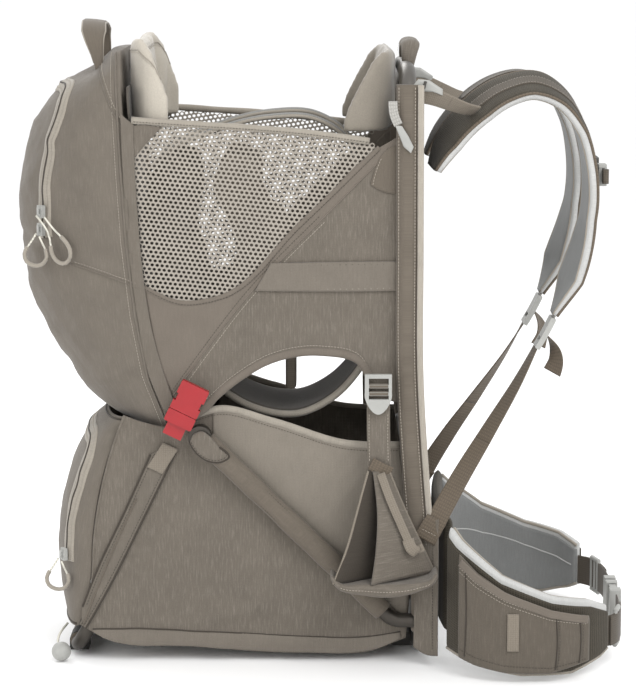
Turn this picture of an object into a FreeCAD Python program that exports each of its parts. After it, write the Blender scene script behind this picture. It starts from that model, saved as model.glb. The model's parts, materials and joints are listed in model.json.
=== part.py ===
import FreeCAD, Part
import math
import os

# Framed child carrier worn on the back. Millimetres; +X wearer's right, +Y wearer's forward, +Z up.
# z = 0 is the floor, x = 0 the plane of symmetry, and the origin lies on the base skid's underside.

V = FreeCAD.Vector
os.makedirs("parts", exist_ok=True)

TUBE_R = 9.5            # main frame hoop
STRUT_R = 8.0           # seat struts and kickstand
SHAFT_R = 7.0           # shaft that the kickstand turns on
SHAFT_GAP = 0.06        # running clearance of the kickstand eyes
BAR_R = 5.0             # cross bars
HOOP_X = 126.0          # hoop uprights
STRUT_X = 124.0
LEG_X = 104.0
PIVOT = (-228.0, 262.0)  # kickstand axis, y and z
FOOT_BAR = (-372.0, 11.0)
HOOP = [(0, 20, 13.5), (84, 20, 13.5), (HOOP_X, 24, 54), (HOOP_X, 4, 330), (HOOP_X, 3, 668), (0, 3, 668)]
HOOP_BENDS = [30, 40, 600, 50]
UPRIGHT = [(18, 141), (13, 200), (4.5, 330), (3.5, 480), (3, 655)]

SIDE_X = (122.0, 124.0)      # cockpit side panels
MESH_X = (122.5, 123.5)
BAG_X = (113.2, 115.2)       # storage bag side panels
SEAM = [(-246, 284), (-267, 315), (-284, 400), (-289, 430)]
SEAM_TOP = [(-301, 612), (-298, 528), (-289, 430)]
NET_LOW = [(-289, 430), (-249, 413), (-205, 419), (-116, 500), (-28, 586)]
RIM = [(-28, 586), (-39, 589), (-116, 599), (-225, 607), (-301, 612)]
LEG_ARCH = [(-34, 312), (-49, 347), (-94, 358), (-149, 349), (-188, 326), (-234, 284)]

# rear pocket: height, seam y, rearmost y, half width
POCKET = [
    (264, -258, -305, 108), (290, -266, -352, 118), (330, -281, -384, 124), (400, -294, -421, 126),
    (480, -303, -438, 126), (560, -308, -435, 125), (620, -311, -413, 122), (650, -312.5, -385, 116),
    (672, -313.5, -350, 104), (690, -315, -330, 84),
]
# storage bag's rear panel, with the same four columns
BAG_REAR = [
    (40, -369, -388, 110), (62, -359, -394, 112), (90, -354, -398, 112.5), (149, -350, -397, 112.5),
    (206, -340, -384, 111.5), (246, -328, -366, 109), (268, -318, -350, 104),
]
BAG_BASE = [(-342, 27), (-300, 22), (-230, 16), (-116, 9.5), (-25, 15), (-2, 26)]
BAG_HALF = 111.0

STRAP = [
    (34, 560), (48, 587), (79, 623), (112, 645), (145, 652), (175, 637), (196, 604), (206, 565),
    (208, 526), (201, 481), (187, 436), (170, 396),
]
STRAP_X = (58.0, 122.0)
WING = [(146, 53), (172, 74), (188, 106), (190, 140), (184, 175), (168, 204), (146, 226)]
WING_SIDE = [
    (44, 176), (62, 154), (107, 120), (162, 97), (205, 88), (234, 72), (238, 50), (234, 26), (217, 14),
    (184, 2), (129, 3), (80, 12), (46, 24),
]
TEARDROP = [
    (0, 0), (-4, -7), (-10, -15), (-13.5, -23.5), (-11.5, -31), (-5, -35.5), (2.5, -36), (9, -32), (12, -25),
    (10.5, -17), (6.5, -10), (3.6, -3.2),
]
LONG_LOOP = [
    (0, 0), (5.5, -6.5), (11.5, -14), (15.2, -23), (16.5, -33), (18.2, -42.5), (23.8, -50), (32, -52),
    (38.2, -46.5), (39, -37.5), (35, -29), (28.5, -22), (21.5, -15.5), (15, -8.2), (9.6, -1.6),
]
LOCK_CENTRE = (138.5, -246, 292)
LOCK_TILT = 26.0


def side(x):
    return lambda p: V(x, p.x, p.y)


def plan(z):
    return lambda p: V(p.x, p.y, z)


def front(y):
    return lambda p: V(p.x, y, p.y)


def flat(points):
    return [V(a, b, 0) for a, b in points]


def spline(points):
    curve = Part.BSplineCurve()
    curve.interpolate(points)
    return curve


def edge(points):
    if len(points) == 2:
        return Part.makeLine(points[0], points[1])
    return spline(points).toShape()


def outline(segments, place, along):
    """Prism over a closed outline; each segment is a straight run or a smooth curve."""
    edges = [edge([place(p) for p in flat(s)]) for s in segments]
    wire = Part.Wire(Part.__sortEdges__(edges))
    return Part.Face(wire).extrude(along)


def ribbon(path, half, place, along, shift=0.0):
    """Band of constant thickness that follows a smooth centre line."""
    centre = spline(flat(path))
    steps = 3 * (len(path) - 1)
    first = centre.FirstParameter
    span = centre.LastParameter - first
    left = []
    right = []
    for i in range(steps + 1):
        t = first + span * i / steps
        p = centre.value(t)
        d = centre.tangent(t)[0]
        n = V(-d.y, d.x, 0)
        left.append(place(p + n * (shift + half)))
        right.append(place(p + n * (shift - half)))
    edges = [edge(left), edge([left[-1], right[-1]]), edge(right), edge([right[0], left[0]])]
    return Part.Face(Part.Wire(Part.__sortEdges__(edges))).extrude(along)


def bends(corners, radii):
    """Straight runs joined by tangent arcs."""
    pts = [V(*c) for c in corners]
    last = pts[0]
    edges = []
    for i, radius in enumerate(radii, 1):
        a = (pts[i - 1] - pts[i]).normalize()
        b = (pts[i + 1] - pts[i]).normalize()
        half = a.getAngle(b) / 2
        start = pts[i] + a * (radius / math.tan(half))
        end = pts[i] + b * (radius / math.tan(half))
        toward = (a + b).normalize()
        middle = pts[i] + toward * (radius / math.sin(half) - radius)
        edges.append(Part.makeLine(last, start))
        edges.append(Part.Arc(start, middle, end).toShape())
        last = end
    edges.append(Part.makeLine(last, pts[-1]))
    return Part.Wire(edges)


def tube(corners, radii, radius):
    ring = Part.Wire([Part.makeCircle(radius, V(*corners[0]), V(*corners[1]) - V(*corners[0]))])
    return bends(corners, radii).makePipeShell([ring], True, False)


def cord(name, points, radius):
    """Limp cord: each bend takes its room from the shorter of its two runs."""
    pts = [V(*p) for p in points]
    radii = []
    for a, b, c in zip(pts, pts[1:], pts[2:]):
        turn = (b - a).getAngle(c - b)
        room = 0.45 * min((b - a).Length, (c - b).Length)
        radii.append(room / math.tan(turn / 2))
    print(name, "bend radii", [round(r, 1) for r in radii])
    return tube(points, radii, radius)


def box(x0, x1, y0, y1, z0, z1):
    return Part.makeBox(x1 - x0, y1 - y0, z1 - z0, V(x0, y0, z0))


def rod(radius, x0, x1, y, z):
    return Part.makeCylinder(radius, x1 - x0, V(x0, y, z), V(1, 0, 0))


def mirrored(shape):
    return shape.mirror(V(0, 0, 0), V(1, 0, 0))


def both(shape):
    return Part.makeCompound([shape, mirrored(shape)])


def rounded(shape, radius, axis):
    """Round the edges that run along one axis."""
    found = [e for e in shape.Edges if e.Length > 1 and abs(e.tangentAt(e.FirstParameter).dot(axis)) > 0.999]
    return shape.makeFillet(radius, found)


def save(name, shape):
    shape.exportStep("parts/" + name + ".step")


def main_frame_tube():
    half = tube(HOOP, HOOP_BENDS, TUBE_R)
    return half.fuse(mirrored(half)).removeSplitter()


def cross_bars(hoop):
    upper = rod(BAR_R, -HOOP_X + 3, HOOP_X - 3, -2.5, 560).cut(hoop)
    lower = rod(BAR_R, -HOOP_X + 3, HOOP_X - 3, 3, 240).cut(hoop)
    return Part.makeCompound([upper, lower])


def base_skid(hoop):
    block = rounded(box(-50, 50, -12, 34, 0, 13.5), 8, V(0, 0, 1))
    return block.cut(hoop)


def seat_frame_tube(hoop):
    """Two diagonal struts welded to the hubs of the kickstand's shaft."""
    y, z = PIVOT
    run = tube([(STRUT_X, y, z), (STRUT_X, -12, 50), (STRUT_X, 18, 50)], [25], STRUT_R).cut(hoop)
    hub = rod(13, 116.2, 131.8, y, z)
    shaft = rod(SHAFT_R, -120, 120, y, z)
    return shaft.fuse([run, hub, mirrored(run), mirrored(hub)]).removeSplitter()


def kickstand_tube():
    y, z = PIVOT
    by, bz = FOOT_BAR
    path = [(LEG_X, y, z), (LEG_X, by, bz), (-LEG_X, by, bz), (-LEG_X, y, z)]
    legs = tube(path, [28, 28], STRUT_R)
    eye = rod(13, LEG_X - 7, LEG_X + 7, y, z)
    bore = rod(SHAFT_R + SHAFT_GAP, -LEG_X - 20, LEG_X + 20, y, z)
    return legs.fuse([eye, mirrored(eye)]).cut(bore).removeSplitter()


def kickstand_foot():
    y, z = FOOT_BAR
    sleeve = rod(11, 40, 68, y, z).fuse(box(40, 68, y - 11, y + 11, 0, z)).removeSplitter()
    return sleeve.cut(rod(STRUT_R, 30, 80, y, z))


def frame_sleeve(hoop, bars):
    cover = ribbon(UPRIGHT, 13, side(HOOP_X - 13), V(26, 0, 0))
    return cover.cut(hoop).cut(bars)


def back_panel():
    path = [(17.5, 196), (14, 240), (11, 330), (10, 480), (10, 636)]
    return ribbon(path, 5, side(-111), V(222, 0, 0))


def lumbar_pad():
    path = [(-135, 51), (-70, 46), (0, 44), (70, 46), (135, 51)]
    pad = ribbon(path, 7, plan(38), V(0, 0, 134))
    return rounded(pad, 5, V(0, 0, 1))


def side_panel():
    segments = [
        NET_LOW, [(-28, 586), (-13, 598)], [(-13, 598), (-13, 300)], [(-13, 300), (-34, 312)], LEG_ARCH,
        [(-234, 284), (-246, 284)], SEAM,
    ]
    return outline(segments, side(SIDE_X[0]), V(SIDE_X[1] - SIDE_X[0], 0, 0))


def net_panel():
    return outline([NET_LOW, RIM, SEAM_TOP], side(MESH_X[0]), V(MESH_X[1] - MESH_X[0], 0, 0))


def rim_binding():
    path = [(y, z + 4.2) for y, z in RIM[1:]]
    return ribbon(path, 3.5, side(119.5), V(7, 0, 0))


def cockpit_wall():
    path = [(-249, 286), (-270, 316), (-287, 400), (-292, 430), (-301, 528), (-304, 612), (-305, 652)]
    return ribbon(path, 2, side(-120), V(240, 0, 0))


def dome(row, grow):
    z, seam, rear, half = row
    turns = [math.pi * i / 12 for i in range(13)]
    reach = seam - rear + grow
    return [V((half + grow) * math.cos(t), seam - reach * math.sin(t) ** 0.9, z) for t in turns]


def pocket_body():
    """Stuffed pocket: horizontal D sections, flat at the seam and domed to the rear."""
    wires = []
    for row in POCKET:
        arc = dome(row, 0)
        wires.append(Part.Wire([spline(arc).toShape(), Part.makeLine(arc[-1], arc[0])]))
    return Part.makeLoft(wires, True, False)


def dome_shell(rows, inner, outer):
    """Cloth of a domed panel between two offsets from its rows."""
    wires = []
    for row in rows:
        a, b = dome(row, outer), dome(row, inner)
        edges = [spline(a).toShape(), Part.makeLine(a[-1], b[-1])]
        wires.append(Part.Wire(edges + [spline(b[::-1]).toShape(), Part.makeLine(b[0], a[0])]))
    return Part.makeLoft(wires, True, False)


def zip_band(half, low, high, width, y0, y1, bend):
    """Inverted U, seen from the rear, as a prism along Y."""
    outer = bends([(-half, y0, low), (-half, y0, high), (half, y0, high), (half, y0, low)], [bend, bend])
    h = half - width
    inner = bends(
        [(h, y0, low), (h, y0, high - width), (-h, y0, high - width), (-h, y0, low)],
        [bend - width, bend - width],
    )
    ends = [Part.makeLine(V(half, y0, low), V(h, y0, low)), Part.makeLine(V(-h, y0, low), V(-half, y0, low))]
    wire = Part.Wire(Part.__sortEdges__(outer.Edges + inner.Edges + ends))
    return Part.Face(wire).extrude(V(0, y1 - y0, 0))


def upper_zip():
    tape = dome_shell(POCKET, 0.3, 1.5)
    return tape.common(zip_band(98, 484, 656, 16, -460, -330, 50))


def lower_zip():
    tape = dome_shell(BAG_REAR, 0.3, 1.5)
    return tape.common(zip_band(100, 112, 260, 16, -430, -325, 30))


def child_seat():
    path = [(-258, 356), (-236, 330), (-205, 306), (-173, 287), (-116, 279), (-82, 295), (-43, 339), (-24, 384)]
    return rounded(ribbon(path, 6, side(-74), V(148, 0, 0)), 3, V(1, 0, 0))


def child_harness():
    path = [(-292, 548), (-266, 574), (-215, 598), (-150, 614), (-98, 612), (-62, 588), (-50, 545), (-58, 480),
            (-88, 400), (-122, 352)]
    strap = ribbon(path, 2.5, side(26), V(32, 0, 0))
    yoke = rounded(box(-25, 25, -134, -120, 296, 350), 4, V(0, 1, 0))
    return strap, yoke


def face_pad_rear():
    path = [(-110, -258), (-108, -276), (-92, -292), (-50, -296), (0, -296), (50, -296), (92, -292), (108, -276),
            (110, -258)]
    band = ribbon(path, 5, plan(600), V(0, 0, 112))
    shape = outline(
        [[(-303, 600), (-303, 706)], [(-303, 706), (-290, 708), (-276, 692), (-262, 650), (-254, 622)],
         [(-254, 622), (-254, 606)], [(-254, 606), (-303, 600)]], side(-125), V(250, 0, 0))
    return band.common(shape)


def face_pad_front():
    path = [(-108, -70), (-106, -48), (-96, -28), (-55, -18), (0, -16), (55, -18), (96, -28), (106, -48), (108, -70)]
    band = ribbon(path, 5, plan(590), V(0, 0, 112))
    shape = outline(
        [[(-72, 600), (-62, 626), (-36, 644), (-18, 678), (-8, 694)], [(-8, 694), (-8, 600)],
         [(-8, 600), (-72, 600)]], side(-125), V(250, 0, 0))
    return band.common(shape)


def grab_handles(hoop, pocket):
    loop = tube([(-48, 6, 668), (-38, 8, 692), (38, 8, 692), (48, 6, 668)], [12, 12], 6).cut(hoop)
    path = [(-62, 674), (-50, 704), (-22, 718.5), (0, 720.5), (22, 718.5), (50, 704), (62, 674)]
    strap = ribbon(path, 2.5, front(-363), V(0, 30, 0)).cut(pocket)
    return loop, strap


def bag_side():
    segments = [
        [(-315, 272), (-325, 246), (-337, 206), (-347, 149), (-351, 90), (-356, 62), (-364, 40)],
        [(-364, 40), (-343, 29), (-230, 17), (-116, 10), (-25, 16), (-1, 27)],
        [(-1, 27), (-3, 60), (-1, 110), (-12, 170), (-13, 252)],
        [(-13, 252), (-65, 254), (-150, 280), (-208, 294)],
        [(-208, 294), (-240, 282), (-262, 272)], [(-262, 272), (-315, 272)],
    ]
    panel = outline(segments, side(BAG_X[0]), V(BAG_X[1] - BAG_X[0], 0, 0))
    return panel.cut(rod(SHAFT_R + 2, 100, 130, *PIVOT))


def side_release(width, length, thick, wall):
    """Side-release buckle along -Z: socket above z = 0 with its mouth at z = 0, and a tongue inside it."""
    socket = rounded(box(-thick / 2, thick / 2, -width / 2, width / 2, 0, length), 2, V(1, 0, 0))
    hollow = box(-thick / 2 + wall, thick / 2 - wall, -width / 2 + wall, width / 2 - wall, -1, length * 0.7)
    window = box(-thick, thick, -width / 2 - 1, -width / 2 + wall + 1, length * 0.3, length * 0.55)
    far_window = window.mirror(V(0, 0, 0), V(0, 1, 0))
    socket = socket.cut(hollow).cut(window).cut(far_window)
    play = 0.5
    reach = length * 0.62
    grip = rounded(box(-thick / 2, thick / 2, -width / 2, width / 2, -length * 0.45, -0.6), 2, V(1, 0, 0))
    half = thick / 2 - wall - play
    inner = width / 2 - wall - play
    arm = box(-half, half, inner - width * 0.13, inner, -1, reach)
    guide = box(-half, half, -width * 0.07, width * 0.07, -1, reach * 0.8)
    tongue = grip.fuse([arm, arm.mirror(V(0, 0, 0), V(0, 1, 0)), guide]).removeSplitter()
    return socket, tongue


def lock_buckle():
    """Red buckle that holds the kickstand, with its webbing tab below."""
    socket, tongue = side_release(33, 34, 10, 1.6)
    tab = box(-1.2, 1.2, -11, 11, -30, -15.6)
    tongue = tongue.fuse(tab).removeSplitter()
    for part in (socket, tongue):
        part.rotate(V(0, 0, 0), V(1, 0, 0), -LOCK_TILT)
        part.translate(V(*LOCK_CENTRE))
    return socket, tongue


def hip_buckle():
    socket, tongue = side_release(42, 34, 13, 2)
    for part in (socket, tongue):
        part.rotate(V(0, 0, 0), V(0, 0, 1), 90)
        part.rotate(V(0, 0, 0), V(0, 1, 0), -90)
        part.translate(V(0, 251, 42))
    tongue.translate(V(22.5, 0, 0))
    return socket, tongue


def sternum():
    socket, tongue = side_release(24, 22, 9, 1.4)
    for part in (socket, tongue):
        part.rotate(V(0, 0, 0), V(0, 0, 1), 90)
        part.rotate(V(0, 0, 0), V(0, 1, 0), -90)
        part.translate(V(4, 221, 553))
    left = box(-116, -18, 220.2, 221.8, 545.5, 560.5)
    right = box(13.9, 106, 220.2, 221.8, 545.5, 560.5)
    keeper = rounded(box(78, 102, 216.2, 225, 541, 565), 3, V(0, 1, 0))
    keeper = keeper.cut(box(70, 110, 219.6, 222.4, 544.9, 561.1))
    return keeper, socket.fuse(left).removeSplitter(), tongue.fuse(right).removeSplitter()


def ladder_lock():
    """Shield-shaped ladder lock: three slots with two bars between them, and a thumb tab below."""
    plate = outline(
        [[(-44, 337), (-44, 316)], [(-44, 316), (-41, 303), (-29, 292), (-17, 303), (-14, 316)],
         [(-14, 316), (-14, 337)], [(-14, 337), (-44, 337)]], side(146), V(5, 0, 0))
    for low, high in ((309, 313.5), (317, 322), (325.5, 332.5)):
        plate = plate.cut(box(140, 160, -39.5, -17.5, low, high))
    return plate


def stirrup_webbing():
    upper = box(142.6, 144.4, -41, -16, 222, 335)
    rear = ribbon([(-36, 228), (-48, 190), (-61, 145), (-72, 108)], 1.2, side(146), V(32, 0, 0))
    ahead = ribbon([(-24, 228), (-8, 196), (12, 156), (26, 130), (33, 113)], 1.2, side(146), V(32, 0, 0))
    yoke = box(142.6, 178, -41, -16, 219, 232)
    return yoke.fuse([upper, rear, ahead]).removeSplitter()


def stirrup_bed():
    path = [(-79, 117), (-72, 105), (-42, 99), (-12, 98), (16, 102), (34, 109), (39, 119)]
    return rounded(ribbon(path, 3, side(142), V(40, 0, 0)), 2, V(1, 0, 0)).cut(stirrup_webbing())


def harness_yoke():
    return rounded(box(-104, 104, 17.4, 21.2, 484, 590), 1.5, V(1, 0, 0))


def shoulder_strap():
    pad = ribbon(STRAP, 7, side(STRAP_X[0]), V(STRAP_X[1] - STRAP_X[0], 0, 0))
    return rounded(pad, 5, V(1, 0, 0))


def strap_adjuster():
    path = [(168.5, 392.5), (163, 381), (156, 368), (150, 358)]
    body = ribbon(path, 3, side(76), V(28, 0, 0))
    return rounded(body, 1.5, V(1, 0, 0)).cut(box(80, 100, 140, 175, 366, 371))


def lower_webbing():
    return ribbon([(146, 351), (122, 312), (84, 254), (48, 196), (33, 160)], 1.2, side(104), V(20, 0, 0))


def load_lifter():
    return ribbon([(17.6, 652), (34, 650), (54, 644), (66, 636)], 1.2, side(113.5), V(18, 0, 0))


def hip_wing():
    pad = ribbon(WING, 8, plan(0), V(0, 0, 190))
    shape = outline([WING_SIDE + [WING_SIDE[0]]], side(100), V(120, 0, 0))
    return pad.common(shape)


def hip_pocket():
    pad = ribbon(WING, 5, plan(0), V(0, 0, 190), -13.4)
    segments = [
        [(70, 128), (107, 106), (160, 88), (196, 80)], [(196, 80), (196, 20)],
        [(196, 20), (150, 12), (104, 16), (70, 26)], [(70, 26), (70, 128)],
    ]
    return pad.common(outline(segments, side(100), V(120, 0, 0)))


def hip_webbing(wing):
    path = [(148, 226), (130, 239), (100, 247), (70, 250), (44, 251)]
    strap = ribbon(path, 1.2, plan(24), V(0, 0, 36)).cut(wing)
    glide = ribbon([(128, 240), (118, 243), (106, 246)], 4, plan(20), V(0, 0, 44))
    return strap.fuse(glide).removeSplitter()


def dome_skin(rows, x, z, lift):
    """Point and outward angle on a domed panel, lifted off its surface."""
    for low, high in zip(rows, rows[1:]):
        if low[0] <= z <= high[0]:
            f = (z - low[0]) / (high[0] - low[0])
            seam, rear, half = [a + (b - a) * f for a, b in zip(low[1:], high[1:])]
    t = math.acos(x / half)
    y = seam - (seam - rear) * math.sin(t) ** 0.9
    slope = 0.9 * (seam - rear) * math.sin(t) ** -0.1 * math.cos(t) / (half * math.sin(t))
    turn = math.atan(slope)
    return V(x + lift * math.sin(turn), y - lift * math.cos(turn), z), math.degrees(turn)


def slider(point, turn):
    body = box(-4.5, 4.5, -2.4, 2.4, -7, 7)
    bridge = box(-1.4, 1.4, -5.4, -2.4, -4.5, 5)
    body = body.fuse(bridge).cut(box(-5, 5, -4.2, -2.4, -2.5, 3)).removeSplitter()
    body.rotate(V(0, 0, 0), V(0, 0, 1), turn)
    body.translate(point)
    return body


def pull_points(centre, turn, line):
    """Loop of cord that hangs from a slider's bridge; line is its shape as (forward, up) steps."""
    out = math.radians(turn)
    x, y, z = centre.x + 7.2 * math.sin(out), centre.y - 7.2 * math.cos(out), centre.z - 4
    return [(x + 0.45 * max(a, 0), y + a, z + b) for a, b in line]


def main():
    hoop = main_frame_tube()
    bars = cross_bars(hoop)
    save("main_frame_tube", hoop)
    save("cross_bars", bars)
    save("base_skid", base_skid(hoop))
    save("seat_frame_tube", seat_frame_tube(hoop))
    save("frame_sleeves", both(frame_sleeve(hoop, bars)))
    save("back_panel_pad", back_panel())
    save("lumbar_pad", lumbar_pad())
    save("side_panels", both(side_panel()))
    save("net_panels", both(net_panel()))
    save("rim_bindings", both(rim_binding()))
    save("cockpit_rear_wall", cockpit_wall())
    pocket = pocket_body()
    save("rear_pocket", pocket)
    save("child_seat", child_seat())
    strap, buckle = child_harness()
    save("child_harness", Part.makeCompound([strap, mirrored(strap), buckle]))
    save("face_pad_rear", face_pad_rear())
    save("face_pad_front", face_pad_front())
    loop, handle = grab_handles(hoop, pocket)
    save("grab_handle_front", loop)
    save("grab_handle_rear", handle)
    save("bag_sides", both(bag_side()))
    save("bag_rear_panel", dome_shell(BAG_REAR, -2.4, 0))
    save("bag_base_panel", ribbon(BAG_BASE, 1.2, side(-BAG_HALF), V(2 * BAG_HALF, 0, 0)))
    save("upper_zip", upper_zip())
    save("lower_zip", lower_zip())
    save("kickstand_tube", kickstand_tube())
    save("kickstand_feet", both(kickstand_foot()))

    for tag, place in (("R", lambda s: s), ("L", mirrored)):
        socket, tongue = lock_buckle()
        save("lock_socket_" + tag, place(socket))
        save("lock_tongue_" + tag, place(tongue))
        save("ladder_lock_" + tag, place(ladder_lock()))
        save("stirrup_webbing_" + tag, place(stirrup_webbing()))
        save("stirrup_bed_" + tag, place(stirrup_bed()))
        save("shoulder_strap_" + tag, place(shoulder_strap()))
        save("strap_adjuster_" + tag, place(strap_adjuster()))
        wing = hip_wing()
        save("hip_wing_" + tag, place(wing))
        save("hip_pocket_" + tag, place(hip_pocket()))
        save("hip_webbing_" + tag, place(hip_webbing(wing)))

    save("harness_yoke", harness_yoke())
    save("lower_webbings", both(lower_webbing()))
    save("load_lifters", both(load_lifter()))
    keeper, socket, tongue = sternum()
    save("sternum_keepers", both(keeper))
    save("sternum_socket", socket)
    save("sternum_tongue", tongue)
    socket, tongue = hip_buckle()
    save("hip_buckle_socket", socket)
    save("hip_buckle_tongue", tongue)

    low, low_turn = dome_skin(POCKET, 90, 492, 6.4)
    high, high_turn = dome_skin(POCKET, 90, 512, 6.4)
    save("upper_sliders", Part.makeCompound([slider(low, low_turn), slider(high, high_turn)]))
    bag, bag_turn = dome_skin(BAG_REAR, 92, 120, 6.4)
    save("lower_slider", slider(bag, bag_turn))
    pulls = (("upper_pull_a", low, low_turn, TEARDROP), ("upper_pull_b", high, high_turn, LONG_LOOP),
             ("lower_pull", bag, bag_turn, TEARDROP))
    for name, at, turn, line in pulls:
        points = pull_points(at, turn, line)
        print(name, at, turn, [[round(c, 2) for c in p] for p in points])
        save(name, cord(name, points, 1.1))
    points = [(74, -384.4, 33), (82, -389.5, 28.5), (90, -393.5, 22.5), (98, -394, 16.5), (105.5, -391, 12.2)]
    print("bungee", points)
    save("bungee", cord("bungee", points, 1.4))
    save("bungee_ball", Part.makeSphere(11, V(116.5, -388, 11.4)).cut(box(100, 107.3, -400, -376, 0, 24)))


main()
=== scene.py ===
import bpy
import bmesh
import json
import math
import numpy as np
from mathutils import Vector, Matrix
from mathutils.bvhtree import BVHTree

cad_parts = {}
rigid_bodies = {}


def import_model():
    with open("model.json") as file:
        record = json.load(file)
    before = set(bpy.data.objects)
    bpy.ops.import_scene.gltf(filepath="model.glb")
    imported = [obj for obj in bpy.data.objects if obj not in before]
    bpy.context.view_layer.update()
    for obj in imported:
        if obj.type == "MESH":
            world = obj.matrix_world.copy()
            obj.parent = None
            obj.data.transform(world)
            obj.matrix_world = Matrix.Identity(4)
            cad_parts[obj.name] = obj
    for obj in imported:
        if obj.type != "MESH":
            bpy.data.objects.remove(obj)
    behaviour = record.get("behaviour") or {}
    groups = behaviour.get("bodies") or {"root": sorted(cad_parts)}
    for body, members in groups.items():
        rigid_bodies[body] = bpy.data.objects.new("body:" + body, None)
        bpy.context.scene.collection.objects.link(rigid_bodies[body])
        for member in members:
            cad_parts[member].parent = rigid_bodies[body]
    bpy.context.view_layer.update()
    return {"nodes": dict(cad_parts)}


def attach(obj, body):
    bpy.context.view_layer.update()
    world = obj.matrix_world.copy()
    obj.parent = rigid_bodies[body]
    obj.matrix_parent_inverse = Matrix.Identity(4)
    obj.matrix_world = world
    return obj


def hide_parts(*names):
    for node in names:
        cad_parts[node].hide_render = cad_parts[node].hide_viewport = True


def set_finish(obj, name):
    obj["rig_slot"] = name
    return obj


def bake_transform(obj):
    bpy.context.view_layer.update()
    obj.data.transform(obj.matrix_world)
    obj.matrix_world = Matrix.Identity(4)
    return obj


for stock in list(bpy.data.objects):
    bpy.data.objects.remove(stock)
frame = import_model()
nodes = frame["nodes"]
MM = 0.001
OUT = (1, 0, 0)    # outward on the right-hand side; the left is its mirror image

# ------------------------------------------------------------------ materials


def lin(r, g, b):
    out = []
    for c in (r, g, b):
        c /= 255
        out.append(c / 12.92 if c <= 0.04045 else ((c + 0.055) / 1.055) ** 2.4)
    return (out[0], out[1], out[2], 1.0)


SLOT_OF = {}


class Mat:
    """A small helper round a node tree."""

    def __init__(self, name, slot):
        self.m = bpy.data.materials.new(name)
        self.m.use_nodes = True
        SLOT_OF[name] = slot
        self.t = self.m.node_tree
        self.t.nodes.clear()
        self.out = self.add("ShaderNodeOutputMaterial")
        self.bsdf = self.add("ShaderNodeBsdfPrincipled")
        self.link(self.bsdf, 0, self.out, 0)

    def add(self, kind, **values):
        n = self.t.nodes.new(kind)
        for k, v in values.items():
            setattr(n, k, v)
        return n

    def link(self, a, i, b, j):
        self.t.links.new(a.outputs[i], b.inputs[j])

    def coords(self, source, scale, turn=0.0):
        tc = self.add("ShaderNodeTexCoord")
        mp = self.add("ShaderNodeMapping")
        mp.inputs["Scale"].default_value = scale
        mp.inputs["Rotation"].default_value = (0, 0, turn)
        self.link(tc, source, mp, 0)
        return mp

    def noise(self, mp, scale, detail=3.0, rough=0.55):
        n = self.add("ShaderNodeTexNoise")
        n.inputs["Scale"].default_value = scale
        n.inputs["Detail"].default_value = detail
        n.inputs["Roughness"].default_value = rough
        self.link(mp, 0, n, 0)
        return n

    def wave(self, mp, scale, direction, distortion=0.0):
        n = self.add("ShaderNodeTexWave", bands_direction=direction)
        n.inputs["Scale"].default_value = scale
        n.inputs["Distortion"].default_value = distortion
        n.inputs["Detail Scale"].default_value = 1.0
        self.link(mp, 0, n, 0)
        return n

    def ramp(self, src, out, stops):
        n = self.add("ShaderNodeValToRGB")
        e = n.color_ramp.elements
        while len(e) < len(stops):
            e.new(0.5)
        for el, (p, c) in zip(e, stops):
            el.position = p
            el.color = c
        self.link(src, out, n, 0)
        return n

    def math(self, op, a, ao, b=None, bo=0, value=None):
        n = self.add("ShaderNodeMath", operation=op)
        self.link(a, ao, n, 0)
        if b is not None:
            self.link(b, bo, n, 1)
        elif value is not None:
            n.inputs[1].default_value = value
        return n

    def multiply(self, a, i, b, j):
        n = self.add("ShaderNodeMix", data_type="RGBA", blend_type="MULTIPLY")
        n.inputs[0].default_value = 1.0
        self.link(a, i, n, 6)
        self.link(b, j, n, 7)
        return n

    def bump(self, src, out, strength, distance):
        n = self.add("ShaderNodeBump")
        n.inputs["Strength"].default_value = strength
        n.inputs["Distance"].default_value = distance
        self.link(src, out, n, "Height")
        self.link(n, 0, self.bsdf, "Normal")

    def values(self, **sockets):
        """Sets shader inputs; a name's _ stands for a space."""
        for name, value in sockets.items():
            self.bsdf.inputs[name.replace("_", " ")].default_value = value


def grey(v):
    return (v, v, v, 1.0)


def scaled(c, k):
    return (c[0] * k, c[1] * k, c[2] * k, 1.0)


def per_mm(pitch):
    """Wave scale that gives one rib in every pitch millimetres."""
    return 1000 / pitch / 6.283


def fabric(name, slot, colour, slub=0.25, pitch=0.9, bump=0.35, rough=0.88, sheen=0.15, source=2, blotch=0.08,
           light=None, stretch=(1.0, 0.09, 0.09)):
    """Woven cloth: slubbed threads, a fine plain weave and slow changes of shade."""
    m = Mat(name, slot)
    mp, drawn = m.coords(source, (1, 1, 1)), m.coords(source, stretch)
    threads, shade, grain = m.noise(drawn, 620, 3.0, 0.65), m.noise(mp, 26, 4.0), m.noise(mp, 900, 2.0)
    high = light or scaled(colour, 1 + 1.15 * slub)
    thread_ramp = m.ramp(threads, 0, [(0.28, scaled(colour, 1 - slub)), (0.52, colour), (0.72, high)])
    shade_ramp = m.ramp(shade, 0, [(0.3, grey(1 - blotch)), (0.7, grey(1.0))])
    shaded = m.multiply(thread_ramp, 0, shade_ramp, 0)
    grain_ramp = m.ramp(grain, 0, [(0.3, grey(0.86)), (0.7, grey(1.0))])
    m.link(m.multiply(shaded, 2, grain_ramp, 0), 2, m.bsdf, "Base Color")
    warp, weft = (m.wave(mp, per_mm(pitch), axis) for axis in "XY")
    weave = m.math("MULTIPLY", m.math("ADD", warp, 1, weft, 1), 0, value=0.5)
    m.bump(m.math("ADD", weave, 0, threads, 0), 0, bump, 0.0006)
    m.values(Roughness=rough, Sheen_Weight=sheen, Sheen_Roughness=0.45, Specular_IOR_Level=0.25)
    return m.m


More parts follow.
